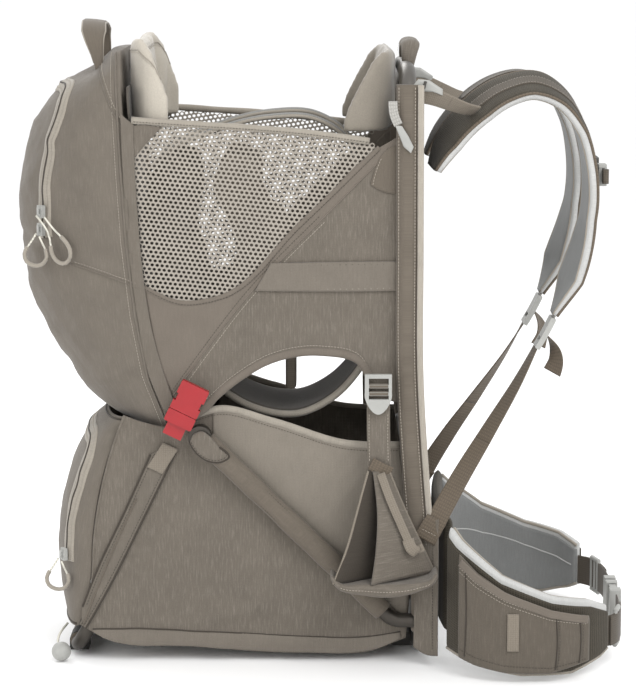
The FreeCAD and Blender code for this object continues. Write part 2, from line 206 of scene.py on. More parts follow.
def spacer(name, slot, colour, cell=3.0, depth=0.45, hole=0.45):
    """Knitted spacer mesh: rows of small holes over foam."""
    m = Mat(name, slot)
    mp = m.coords(2, (1, 1.5, 1))
    holes = m.add("ShaderNodeTexVoronoi", feature="F1")
    holes.inputs["Scale"].default_value = 1000 / cell
    holes.inputs["Randomness"].default_value = 0.18
    m.link(mp, 0, holes, 0)
    hole_ramp = m.ramp(holes, 0, [(0.16, scaled(colour, hole)), (0.42, colour)])
    shade_ramp = m.ramp(m.noise(mp, 30, 3.0), 0, [(0.3, grey(0.86)), (0.7, grey(1.0))])
    m.link(m.multiply(hole_ramp, 0, shade_ramp, 0), 2, m.bsdf, "Base Color")
    m.bump(holes, 0, depth, 0.0012)
    m.values(Roughness=0.9, Sheen_Weight=0.1, Specular_IOR_Level=0.2)
    return m.m


def webbing(name, slot, colour, rib=1.9, bump=0.5, rough=0.75, dark=0.72):
    """Woven strap: ribs across it and a tight selvedge."""
    m = Mat(name, slot)
    mp = m.coords(2, (1, 1, 1))
    ribs, ends = m.wave(mp, per_mm(rib), "Y"), m.wave(mp, per_mm(1.3), "X")
    weave = m.math("MULTIPLY", ribs, 1, ends, 1)
    height = m.math("ADD", weave, 0, m.noise(mp, 500, 2.0), 0)
    m.link(m.ramp(height, 0, [(0.25, scaled(colour, dark)), (1.0, scaled(colour, 1.12))]), 0, m.bsdf, "Base Color")
    m.bump(height, 0, bump, 0.0005)
    m.values(Roughness=rough, Sheen_Weight=0.1, Specular_IOR_Level=0.3)
    return m.m


def hard(name, slot, colour, rough, grain, fine, shades, gloss, **extra):
    """Moulded or painted surface; shades and gloss are (position, low), (position, high) pairs for its slow changes."""
    m = Mat(name, slot)
    mp = m.coords(3, (1, 1, 1))
    grains, slow = m.noise(mp, *fine), m.noise(mp, *shades[0])
    tints = m.ramp(slow, 0, [(0.3, scaled(colour, shades[1])), (0.7, scaled(colour, shades[2]))])
    m.link(tints, 0, m.bsdf, "Base Color")
    (a, up), (b, down) = gloss
    m.link(m.ramp(slow, 0, [(a, grey(rough + up)), (b, grey(rough - down))]), 0, m.bsdf, "Roughness")
    m.bump(grains, 0, grain, 0.0002)
    m.values(**extra)
    return m.m


def plastic(name, slot, colour, rough=0.42, grain=0.12, coat=0.0):
    return hard(name, slot, colour, rough, grain, (2600, 2.0), ((45, 3.0), 0.93, 1.03), ((0.3, 0.07), (0.7, 0.05)),
                Coat_Weight=coat)


def metal(name, slot, colour, rough=0.38):
    return hard(name, slot, colour, rough, 0.08, (1800, 3.0), ((30, 4.0), 0.9, 1.05), ((0.25, 0.1), (0.75, 0.06)),
                Metallic=0.85)


def cord_mat(name, slot, colour):
    """Braided cord: slanting strands with a little fuzz."""
    m = Mat(name, slot)
    mp = m.coords(3, (1, 1, 1))
    strands, fuzz = m.wave(mp, per_mm(1.4), "DIAGONAL"), m.noise(mp, 1500, 2.0)
    m.link(m.ramp(strands, 1, [(0.2, scaled(colour, 0.74)), (0.8, scaled(colour, 1.05))]), 0, m.bsdf, "Base Color")
    m.bump(m.math("ADD", strands, 1, fuzz, 0), 0, 0.5, 0.0004)
    m.values(Roughness=0.7)
    return m.m


F_MAIN = fabric("pack_cloth", "pack_fabric", lin(107, 100, 91), 0.09, light=lin(123, 116, 107), blotch=0.12)
F_BASE = fabric("base_cloth", "pack_fabric", lin(115, 108, 99), 0.06)
F_POCKET = fabric("pocket_cloth", "pack_fabric", lin(109, 102, 93), 0.045, 0.7, light=lin(117, 110, 101),
                  blotch=0.12)
F_DARK = fabric("smooth_dark_cloth", "pack_fabric", lin(110, 102, 93), 0.05, 0.7, 0.2, 0.8)
F_BAND = fabric("band_cloth", "pack_fabric", lin(104, 96, 86), 0.07, 0.8, 0.25, 0.85)
F_EDGE = fabric("edge_tape", "dark_fabric", lin(66, 60, 53), 0.08, 0.8, 0.25, 0.85)
F_LIGHT = fabric("light_trim", "trim_fabric", lin(152, 145, 134), 0.08, 0.7, 0.25, 0.8, 0.25)
F_PAD = fabric("pad_cloth", "trim_fabric", lin(181, 174, 162), 0.05, 0.6, 0.15, 0.75, 0.4, 3,
               stretch=(1, 1, 1))
F_GUSSET = fabric("gusset_cloth", "pack_fabric", lin(128, 121, 111), 0.05)
F_PIPE = fabric("sleeve_piping", "trim_fabric", lin(164, 157, 146), 0.08, 0.7, 0.25, 0.8, 0.25)
F_HIP = fabric("hip_pocket_cloth", "pack_fabric", lin(94, 87, 78), 0.07, light=lin(103, 96, 87))
F_PAD_FRONT = fabric("pad_cloth_taupe", "trim_fabric", lin(137, 130, 119), 0.05, 0.6, 0.15, 0.75, 0.4, 3,
                     stretch=(1, 1, 1))
F_LINING = fabric("lining_cloth", "dark_fabric", lin(82, 77, 70), 0.12)
F_BACKING = fabric("grey_backing", "spacer_mesh", lin(128, 129, 128), 0.07, 0.7, 0.2, 0.85)
F_FOAM = fabric("foam_edge", "spacer_mesh", lin(186, 186, 184), 0.05, 1.2, 0.3, 0.9, 0.2)
F_NET = fabric("net_yarn", "net", lin(158, 151, 141), 0.1, 0.6, 0.3, 0.8, 0.2)
F_SPACER = spacer("spacer_dark", "spacer_mesh", lin(72, 67, 58))
F_SPACER_IN = spacer("spacer_grey", "spacer_mesh", lin(122, 121, 117), 3.4, 0.4, 0.6)
W_DARK = webbing("webbing_dark", "dark_fabric", lin(78, 71, 62), 1.3, 0.35)
W_TAUPE = webbing("webbing_taupe", "pack_fabric", lin(118, 110, 99), 1.1, 0.3, 0.8, 0.85)
W_LIGHT = webbing("webbing_light", "light_webbing", lin(156, 154, 149))
W_BROWN = webbing("webbing_brown", "dark_fabric", lin(92, 82, 70))
P_LIGHT = plastic("hardware_plastic", "hardware", lin(156, 156, 152), 0.45)
P_DARK = plastic("dark_plastic_skin", "dark_plastic", lin(58, 56, 52), 0.5)
P_RED = plastic("red_plastic", "lock_red", lin(150, 18, 26), 0.35, 0.06, 0.1)
P_RUBBER = plastic("rubber_skin", "rubber", lin(48, 47, 45), 0.7, 0.3)
M_TUBE = metal("anodised_tube", "frame_metal", lin(104, 101, 97))
M_STRUT = metal("painted_tube", "strut_metal", lin(78, 74, 69), 0.45)
C_LIGHT = cord_mat("cord_skin", "cord", lin(205, 202, 190))
THREAD = fabric("thread", "trim_fabric", lin(168, 160, 148), 0.1, 0.5, 0.2)
THREAD_DARK = fabric("thread_dark", "dark_fabric", lin(70, 65, 59), 0.1, 0.5, 0.2)

# ------------------------------------------------------------------ geometry


def distances(path):
    """Distance along a path at each of its points."""
    return np.concatenate([[0], np.cumsum(np.linalg.norm(np.diff(path, axis=0), axis=1))])


def resampled(p, n):
    """n evenly spaced points along straight runs."""
    d = distances(p)
    w = np.linspace(0, d[-1], n)
    return np.stack([np.interp(w, d, p[:, k]) for k in range(p.shape[1])], axis=1)


def curve(points, n):
    """Smooth curve through points, resampled to n evenly spaced ones."""
    p = np.array(points, float)
    if len(p) > 2:
        d = np.maximum(np.linalg.norm(np.diff(p, axis=0), axis=1), 1e-9)
        m = np.zeros_like(p)
        s = np.diff(p, axis=0) / d[:, None]
        m[1:-1] = (s[:-1] * d[1:, None] + s[1:] * d[:-1, None]) / (d[:-1] + d[1:])[:, None]
        m[0] = 1.5 * s[0] - 0.5 * m[1]
        m[-1] = 1.5 * s[-1] - 0.5 * m[-2]
        runs = []
        for i in range(len(p) - 1):
            u = np.linspace(0, 1, 33)[:, None][: 33 if i == len(p) - 2 else 32]
            h = d[i]
            runs.append((2 * u**3 - 3 * u**2 + 1) * p[i] + (u**3 - 2 * u**2 + u) * h * m[i]
                        + (-2 * u**3 + 3 * u**2) * p[i + 1] + (u**3 - u**2) * h * m[i + 1])
        p = np.concatenate(runs)
    return resampled(p, n)


def dense(points, step=3.0):
    """Straight-run resampling, so corners keep their own radius."""
    p = np.array(points, float)
    return resampled(p, max(8, int(distances(p)[-1] / step)))


def length(path):
    return float(distances(np.array(path, float))[-1])


def sampled(points, n):
    """fn(s) gives the coordinates at s, from 0 to 1, along a smooth curve of n samples."""
    c = curve(points, n)
    return lambda s: [np.interp(s * (n - 1), range(n), axis) for axis in c.T]


def add_object(name, data):
    ob = bpy.data.objects.new(name, data)
    bpy.context.scene.collection.objects.link(ob)
    return ob


def tidy_mesh(mesh, weld=False):
    """Turns the faces outward, after joining points that coincide."""
    bm = bmesh.new()
    bm.from_mesh(mesh)
    if weld:
        bmesh.ops.remove_doubles(bm, verts=bm.verts, dist=1e-6)
    bmesh.ops.recalc_face_normals(bm, faces=bm.faces)
    bm.to_mesh(mesh)
    bm.free()


def make(name, verts, faces, mat, uvs, fix=True):
    me = bpy.data.meshes.new(name)
    me.from_pydata([tuple(v) for v in verts], [], faces)
    ob = add_object(name, me)
    me.materials.append(mat)
    layer = me.uv_layers.new(name="UVMap")
    idx = np.empty(len(me.loops), dtype=np.int64)
    me.loops.foreach_get("vertex_index", idx)
    layer.data.foreach_set("uv", np.array(uvs, float)[idx].ravel())
    if fix:
        tidy_mesh(me)
    me.polygons.foreach_set("use_smooth", [True] * len(me.polygons))
    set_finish(ob, SLOT_OF[mat.name])
    return ob


def grid_normals(p):
    du = np.gradient(p, axis=0)
    dv = np.gradient(p, axis=1)
    n = np.cross(du, dv)
    return n / np.maximum(np.linalg.norm(n, axis=2, keepdims=True), 1e-12)


def facing(normals, at, axis, sign=1):
    """The normals, turned over if the one at index at doesn't point to sign along the axis."""
    return normals if normals[at][axis] * sign > 0 else -normals


def quads(nu, nv):
    return [(i * nv + j, (i + 1) * nv + j, (i + 1) * nv + j + 1, i * nv + j + 1)
            for i in range(nu - 1) for j in range(nv - 1)]


def two_skins(faces, count):
    """Each face, and its reverse on the skin behind, whose points come count later."""
    return [f for q in faces for f in (q, tuple(count + k for k in reversed(q)))]


def grid_uv(p):
    return (distances(p[:, p.shape[1] // 2]), distances(p[p.shape[0] // 2]))


def shell(name, p, thick, mat, uvs=None):
    """Sheet of cloth over a grid of points, with real thickness on its back."""
    nu, nv = p.shape[:2]
    half = grid_normals(p) * thick / 2
    verts = np.concatenate([(p + half).reshape(-1, 3), (p - half).reshape(-1, 3)])
    if uvs is None:
        uvs = np.stack(np.meshgrid(*grid_uv(p), indexing="ij"), axis=2)
    o = nu * nv
    faces = two_skins(quads(nu, nv), o)
    rim = [i * nv for i in range(nu)] + [(nu - 1) * nv + j for j in range(1, nv)]
    rim += [i * nv + nv - 1 for i in range(nu - 2, -1, -1)] + list(range(nv - 2, 0, -1))
    faces += [(s, r, o + r, o + s) for r, s in zip(rim, rim[1:] + rim[:1])]
    return make(name, verts, faces, mat, np.concatenate([uvs.reshape(-1, 2)] * 2))


def frames(path, hint):
    """Tangent, width and normal directions along a path; hint is the width direction."""
    path = np.array(path, float)
    t = np.gradient(path, axis=0)
    t /= np.maximum(np.linalg.norm(t, axis=1, keepdims=True), 1e-12)
    s = np.array(hint, float)
    if s.ndim == 1:
        s = np.tile(s, (len(path), 1))
    s = s - t * np.sum(s * t, axis=1, keepdims=True)
    s /= np.maximum(np.linalg.norm(s, axis=1, keepdims=True), 1e-12)
    return t, s, np.cross(t, s)


def sweep(name, path, hint, section, mat, scale=None):
    """Sweeps a closed section, (across, up) pairs in metres, along a path."""
    path, sec = np.array(path, float), np.array(section, float)
    _, s, n = frames(path, hint)
    m, k = len(path), len(sec)
    sc = np.ones((m, 2)) if scale is None else np.array(scale, float)
    verts = (path[:, None, :] + s[:, None, :] * (sec[None, :, 0:1] * sc[:, None, 0:1])
             + n[:, None, :] * (sec[None, :, 1:2] * sc[:, None, 1:2]))
    uv = np.stack(np.broadcast_arrays(sec[None, :, 0], distances(path)[:, None]), axis=2)
    faces = [(i * k + j, i * k + (j + 1) % k, (i + 1) * k + (j + 1) % k, (i + 1) * k + j)
             for i in range(m - 1) for j in range(k)]
    faces += [tuple(range(k)), tuple((m - 1) * k + j for j in reversed(range(k)))]
    return make(name, verts.reshape(-1, 3), faces, mat, uv.reshape(-1, 2))


def flat_section(width, thick, crown=0.0, edge=None):
    """Rounded flat section; crown domes the upper side."""
    e = edge if edge is not None else thick / 2
    half, steps = width / 2, 6
    xs = [-half + e + (width - 2 * e) * i / steps for i in range(steps + 1)]
    round_end = [(e * math.cos(math.radians(a)), thick / 2 * math.sin(math.radians(a))) for a in (60, 20, -20, -60)]
    return ([(x, thick / 2 + crown * (1 - (x / half) ** 2)) for x in xs]
            + [(half - e + c, h) for c, h in round_end]
            + [(x, -thick / 2) for x in reversed(xs)]
            + [(-half + e - c, h) for c, h in reversed(round_end)])


def ring(radius, sides=12, tall=None):
    a = np.linspace(0, 2 * math.pi, sides, endpoint=False)
    return np.column_stack([radius * np.cos(a), (tall or radius) * np.sin(a)])


def strap(name, path, hint, width, thick, mat, n=None, crown=0.0, edge=None):
    path = curve(path, n or max(8, int(length(path) / 0.004)))
    return sweep(name, path, hint, flat_section(width, thick, crown, edge), mat)


def tube(name, path, radius, mat, n=None, sides=8):
    path = curve(path, n or max(8, int(length(path) / 0.004)))
    return sweep(name, path, (0.31, 0.2, 0.93), ring(radius, sides), mat)


def stitches(path, lift, mat, pitch=0.0034, run=0.0022, r=0.0003):
    """Short raised stitches along a path; lift is the outward direction, one or one for each point."""
    p = curve(path, max(2, int(length(path) / pitch)) * 2 + 1)
    t = np.gradient(p, axis=0)
    t /= np.linalg.norm(t, axis=1, keepdims=True)
    up = np.array(lift, float)
    up = np.tile(up, (len(p), 1)) if up.ndim == 1 else curve(up, len(p))
    up /= np.linalg.norm(up, axis=1, keepdims=True)
    s = np.cross(t, up)
    verts, faces = [], []
    for i in range(0, len(p) - 1, 2):
        o = len(verts)
        for e, h in ((-0.5, 0.0), (-0.3, 1.0), (0.3, 1.0), (0.5, 0.0)):
            for side in (-1, 1):
                verts.append(p[i] + t[i] * run * e + s[i] * r * side + up[i] * (r * (2.0 * h - 0.2)))
        faces += [(a, a + 1, a + 3, a + 2) for a in (o, o + 2, o + 4)]
    return make("stitches", verts, faces, mat, np.zeros((len(verts), 2)), fix=False)


def join(name, objs):
    """One object from several; each keeps its materials, and the first one's slot is the whole's."""
    bm = bmesh.new()
    mats = []
    for o in objs:
        part = o.data.copy()
        part.transform(o.matrix_world)
        places = []
        for m in part.materials:
            if m not in mats:
                mats.append(m)
            places.append(mats.index(m))
        for f in part.polygons:
            f.material_index = places[f.material_index]
        bm.from_mesh(part)
        bpy.data.meshes.remove(part)
    me = bpy.data.meshes.new(name)
    bm.to_mesh(me)
    bm.free()
    for m in mats:
        me.materials.append(m)
    ob = add_object(name, me)
    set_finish(ob, SLOT_OF[mats[0].name])
    for o in objs:
        bpy.data.meshes.remove(o.data)
    return ob


def flip(obj):
    """Mirrors a piece's mesh across the plane of symmetry."""
    obj.data.transform(Matrix.Scale(-1, 4, OUT))
    obj.data.flip_normals()


def mirror(obj, name):
    ob = add_object(name, obj.data.copy())
    flip(ob)
    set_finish(ob, obj["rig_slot"])
    return ob


def ride(body, *objs):
    for o in objs:
        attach(o, body)


def pair(obj, body, base):
    """Names a right-hand piece and adds its mirror; both ride, on body_R and body_L if body ends in _."""
    other = mirror(obj, base + "_L")
    obj.name = base + "_R"
    for tag, o in (("R", obj), ("L", other)):
        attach(o, body + tag if body.endswith("_") else body)
    return obj, other


def cushion(obj, body, node):
    """A padded piece that rides one body and takes a node's place."""
    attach(obj, body)
    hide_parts(node)


def on_both(obj, body, base, node):
    """A mirrored pair in place of node_R and node_L."""
    both = pair(obj, body, base)
    for o, tag in zip(both, "RL"):
        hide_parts(node + "_" + tag)


def bvh_of(obj):
    bm = bmesh.new()
    bm.from_mesh(obj.data)
    tree = BVHTree.FromBMesh(bm)
    bm.free()
    return tree


def lay(tree, points, direction, lift=0.0):
    """Drops points onto a surface along a direction; gives places and outward normals."""
    d = Vector(direction).normalized()
    out, normals = [], []
    for p in points:
        hit, n, _, _ = tree.ray_cast(Vector(p) - d * 0.5, d)
        if hit is None:
            continue
        if n.dot(d) > 0:
            n = -n
        out.append(hit + n * lift)
        normals.append(n)
    return np.array(out), np.array(normals)


def press(tree, points, normals, reach, near, lift=0.0):
    """Presses points back along their normals onto a surface within near; gives those that meet it."""
    out, kept = [], []
    for q, m in zip(points, normals):
        hit, _, _, _ = tree.ray_cast(Vector(q + m * reach), Vector(-m))
        if hit is not None and (hit - Vector(q)).length < near:
            out.append(np.array(hit) + m * lift)
            kept.append(m)
    return np.array(out), np.array(kept)


def soft_noise(p, scale, seed=0.0):
    """Smooth pseudo-random field over points."""
    x, y, z = p[..., 0] * scale, p[..., 1] * scale, p[..., 2] * scale
    return (np.sin(x * 1.3 + y * 2.1 + seed) * np.cos(z * 1.7 - x * 0.6 + seed * 2)
            + 0.5 * np.sin(z * 3.1 + y * 2.7 + seed * 3) * np.cos(x * 2.9 + seed)
            + 0.35 * np.sin(y * 5.3 - z * 4.1 + seed * 5)) / 1.85


def puff(obj, cap):
    """Inflates a padded piece with a short cloth run, moving no point further than cap, then keeps the plain mesh."""
    bpy.context.view_layer.objects.active = obj
    obj.select_set(True)
    rem = obj.modifiers.new("remesh", "REMESH")
    rem.mode = "VOXEL"
    rem.voxel_size = 0.004
    bpy.ops.object.modifier_apply(modifier=rem.name)
    start = np.array([v.co for v in obj.data.vertices])
    mod = obj.modifiers.new("cloth", "CLOTH")
    s = mod.settings
    s.use_pressure = True
    s.uniform_pressure_force = 4.0
    s.effector_weights.gravity = 0.0
    s.tension_stiffness = s.compression_stiffness = 12.0
    s.bending_stiffness = 1.5
    s.quality = 5
    scene = bpy.context.scene
    for f in range(1, 21):
        scene.frame_set(f)
    done = obj.evaluated_get(bpy.context.evaluated_depsgraph_get())
    move = np.array([v.co for v in done.to_mesh().vertices]) - start
    done.to_mesh_clear()
    obj.modifiers.remove(mod)
    scene.frame_set(1)
    move *= np.minimum(1.0, cap / np.maximum(np.linalg.norm(move, axis=1, keepdims=True), 1e-9))
    obj.data.vertices.foreach_set("co", (start + move).ravel())
    obj.data.update()
    sub = obj.modifiers.new("fine", "SUBSURF")
    sub.levels = sub.render_levels = 1
    bpy.ops.object.modifier_apply(modifier=sub.name)
    obj.data.polygons.foreach_set("use_smooth", [True] * len(obj.data.polygons))
    obj.select_set(False)


def mm(points):
    return [tuple(c * MM for c in p) for p in points]


def yz(points, x):
    """(y, z) pairs in millimetres at a given x."""
    return [(x * MM, y * MM, z * MM) for y, z in points]


def coons(bottom, top, left, right, nu, nv):
    """Grid in (y, z) between four border curves; bottom and top run the same way, as do left and right."""
    b, t = curve(bottom, nu), curve(top, nu)
    lf, r = curve(left, nv), curve(right, nv)
    u = np.linspace(0, 1, nu)[:, None, None]
    v = np.linspace(0, 1, nv)[None, :, None]
    lin_v = (1 - v) * b[:, None] + v * t[:, None]
    lin_u = (1 - u) * lf[None] + u * r[None]
    corner = ((1 - u) * (1 - v) * b[0] + u * (1 - v) * b[-1] + (1 - u) * v * t[0] + u * v * t[-1])
    return (lin_v + lin_u - corner) * MM


def eased(n):
    """0 to 1 in n steps, closer together towards both ends."""
    s = np.linspace(0, 1, n)
    return 0.2 * s + 0.8 * (0.5 - 0.5 * np.cos(math.pi * s))


def pillow(name, fn, nu, nv, thick, mat, r, crown=0.0, extra=None):
    """Closed crowned form over a surface fn(u, v), thin at its border."""
    u, v = np.meshgrid(eased(nu), eased(nv), indexing="ij")
    p = fn(u, v)
    lu, lv = grid_uv(p)

    def rise(d):
        return np.sqrt(np.maximum(0.0, 1 - (1 - np.minimum(d / r, 1)) ** 2))
    f = rise(np.minimum(lu, lu[-1] - lu))[:, None] * rise(np.minimum(lv, lv[-1] - lv))[None]
    t = thick * f * (1 + crown * (1 - (2 * u - 1) ** 2) * (1 - (2 * v - 1) ** 2))
    if extra is not None:
        t = t * extra(u, v)
    half = grid_normals(p) * t[..., None] / 2
    uv = np.stack(np.meshgrid(lu, lv, indexing="ij"), axis=2).reshape(-1, 2)
    return two_sided(name, p, half, quads(nu, nv), mat, uv)


def two_sided(name, p, half, faces, mat, uv):
    """Closed form that stands half to each side of its mid surface p."""
    verts = np.concatenate([(p + half).reshape(-1, 3), (p - half).reshape(-1, 3)])
    ob = make(name, verts, two_skins(faces, len(verts) // 2), mat, np.concatenate([uv, uv]), fix=False)
    tidy_mesh(ob.data, weld=True)
    return ob


def blob(name, outline, place, thick, mat, smooth=True):
    """Closed padded form inside an outline of (a, b) points; place(a, b) gives its mid surface in metres."""
    rings, n = 15, 84
    o = np.array(outline + outline[:1], float)
    c = (curve(o, n + 1) if smooth else dense(o, length(o) / n))[:-1]
    n = len(c)
    r = np.sin(np.linspace(0, np.pi / 2, rings)) ** 0.75
    ab = c.mean(axis=0) + (c - c.mean(axis=0)) * r[:, None, None]
    p = place(ab[..., 0], ab[..., 1])
    nn = grid_normals(p)
    nn[0] = nn[1].mean(axis=0)
    half = nn * (thick / 2 * np.maximum(0, 1 - r ** 5) ** 0.5)[:, None, None]
    faces = [(i * n + j, i * n + (j + 1) % n, (i + 1) * n + (j + 1) % n, (i + 1) * n + j)
             for i in range(rings - 1) for j in range(n)]
    return two_sided(name, p, half, faces, mat, ab.reshape(-1, 2) * MM)


def dress(node, mat):
    """Gives a CAD node its finished material."""
    me = nodes[node].data
    me.materials.clear()
    me.materials.append(mat)


# ------------------------------------------------------------------ sizes shared with the frame

HOOP_X = 126.0
SIDE_X = 123.0
BAG_X = 114.2
UPRIGHT = [(18, 141), (13, 200), (4.5, 330), (3.5, 480), (3, 655)]
NET_LOW = [(-289, 430), (-249, 413), (-205, 419), (-116, 500), (-28, 586)]
RIM = [(-28, 586), (-39, 589), (-116, 599), (-225, 607), (-301, 612)]
SEAM_TOP = [(-289, 430), (-298, 528), (-301, 612)]
DIAGONAL = [(-258, 308), (-222, 358), (-177, 417), (-90, 508), (-7, 592)]
LEG_ARCH = [(-246, 284), (-234, 284), (-188, 326), (-149, 349), (-94, 358), (-49, 347), (-34, 312), (-5, 300)]
POCKET = np.array([
    (250, -257, -286, 112), (258, -257.5, -296, 110), (264, -258, -305, 108), (290, -266, -352, 118),
    (330, -281, -384, 124), (400, -294, -421, 126), (480, -303, -438, 126), (560, -308, -435, 125),
    (620, -311, -413, 122), (650, -312.5, -385, 116), (672, -313.5, -350, 104), (690, -315, -330, 84)], float)
BAG_REAR = np.array([
    (40, -369, -388, 110), (62, -359, -394, 112), (90, -354, -398, 112.5), (149, -350, -397, 112.5),
    (206, -340, -384, 111.5), (246, -328, -366, 109), (268, -318, -350, 104), (280, -311, -338, 99)], float)
BAG_BASE = [(-342, 27), (-300, 22), (-230, 16), (-116, 9.5), (-25, 15), (-2, 26)]
STRAP = [
    (34, 560), (48, 587), (79, 623), (112, 645), (145, 652), (175, 637), (196, 604), (206, 565),
    (208, 526), (201, 481), (187, 436), (170, 396)]
WING = [(146, 53), (172, 74), (188, 106), (190, 140), (184, 175), (168, 204), (146, 226)]

# ------------------------------------------------------------------ frame and kickstand

for finish, plain, sided in ((M_TUBE, "main_frame_tube cross_bars", ""),
                             (M_STRUT, "seat_frame_tube kickstand_tube", ""),
                             (P_DARK, "base_skid sternum_socket sternum_tongue", ""), (P_RUBBER, "kickstand_feet", ""),
                             (P_RED, "", "lock_socket lock_tongue"),
                             (P_LIGHT, "sternum_keepers hip_buckle_socket hip_buckle_tongue upper_sliders lower_slider "
                              "bungee_ball", "ladder_lock strap_adjuster")):
    for node in plain.split() + [n + "_" + tag for n in sided.split() for tag in "RL"]:
        dress(node, finish)


def frame_sleeves():
    """Cloth sleeve with light piping over each upright, and a boot round the hoop's lower bend."""
    path = yz(UPRIGHT, HOOP_X)
    body = strap("frame_sleeve", path, OUT, 0.025, 0.0255, F_BAND, crown=0.0012, edge=0.008)
    mid = curve(path, 60)
    t, _, _ = frames(mid, (-1, 0, 0))
    fwd = np.stack([np.zeros(60), t[:, 2], -t[:, 1]], axis=1)
    pipe = strap("sleeve_piping", mid + fwd * 0.0125 + np.array([0.0105, 0, 0]) + fwd * 0.0012
                 + np.array([0.0012, 0, 0]), (0.35, 1, 0), 0.0072, 0.0040, F_PIPE, n=60)
    rows = [stitches(mid + fwd * ahead + np.array([out, 0, 0]), OUT, THREAD, 0.0036, 0.0024)
            for ahead, out in ((-0.0105, 0.0128), (0.0075, 0.0130))]
    boot = strap("hoop_boot", mm([(126, 19, 150), (125, 21, 110), (123, 22, 70), (117, 22.5, 38)]), OUT, 0.024, 0.0238,
                 F_BAND, n=40, crown=0.0008, edge=0.008)
    right, _ = pair(join("frame_sleeve", [body, pipe] + rows + [boot]), "frame", "frame_sleeve")
    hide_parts("frame_sleeves")


def strut_sleeves():
    """Sleeve over each seat strut, and a soft boot over the kickstand's pivot."""
    path = yz([(-222, 256.5), (-180, 215.5), (-100, 137), (-50, 88.5), (-22, 61)], 124.5)
    n = 60
    w = 1 + 0.05 * np.sin(np.linspace(0, 21, n)) * np.cos(np.linspace(0, 8, n))
    body = sweep("strut_sleeve", curve(path, n), OUT, ring(0.0098, 20, 0.0124), F_BAND, scale=np.stack([w, w], axis=1))
    p = curve(path, 50)
    _, _, up = frames(p, (-1, 0, 0))
    rows = [stitches(p + up * d + np.array([0.0062, 0, 0]), OUT, THREAD_DARK) for d in (0.0085, -0.0085)]
    pair(join("strut_sleeve", [body] + rows), "frame", "strut_sleeve")

    half_moon = [(-239, 257), (-231, 245), (-217, 236), (-202, 236), (-196, 240), (-206, 252), (-217, 265),
                 (-225, 270), (-235, 266)]

    def place(a, b):
        bow = np.clip(1 - ((a + 216) ** 2 + (b - 252) ** 2) / 700, -1, 1)
        return np.stack([132.6 + 3.0 * bow, a, b], axis=-1) * MM
    flap = blob("pivot_boot", half_moon, place, 0.0055, F_MAIN)
    line = curve([(a * 0.9 - 22, b * 0.9 + 25.8) for a, b in half_moon[:6]], 60)
    row = stitches(place(line[:, 0], line[:, 1]) + np.array([0.0026, 0, 0]), OUT, THREAD_DARK)
    rim = curve(half_moon[:6], 60)
    pipe = tube("boot_edge", place(rim[:, 0], rim[:, 1]), 0.0016, F_EDGE, n=60)
    skirt = tube("boot_core", yz([(-222, 256), (-205, 240)], 125.5), 0.0105, F_MAIN, n=12, sides=16)
    pair(join("pivot_boot", [flap, row, pipe, skirt]), "frame", "pivot_boot")


def side_x(y, z):
    """Outward place of the taut side cloth, in metres, for (y, z) in metres."""
    p = np.stack([np.zeros_like(y), y, z], axis=-1)
    return SIDE_X * MM + 0.0011 * soft_noise(p, 22, 0.0) + 0.0005 * soft_noise(p, 75, 2.0)


def over(surface, lift):
    return lambda y, z: surface(y, z) + lift


def cloth_patch(name, bottom, top, left, right, nu, nv, mat, x_of, thick=0.0012):
    g = coons(bottom, top, left, right, nu, nv)
    p = np.concatenate([x_of(g[..., 0], g[..., 1])[..., None], g], axis=2)
    return shell(name, p, thick, mat, g)


def on_side(points, lift=0.0, x_of=side_x, n=None):
    """(y, z) line in mm, laid on a side's cloth."""
    g = curve(points, n or max(12, int(length(points) / 4))) * MM
    return np.column_stack([x_of(g[:, 0], g[:, 1]) + lift, g])


def shifted(points, dy, dz):
    return [(y + dy, z + dz) for y, z in points]


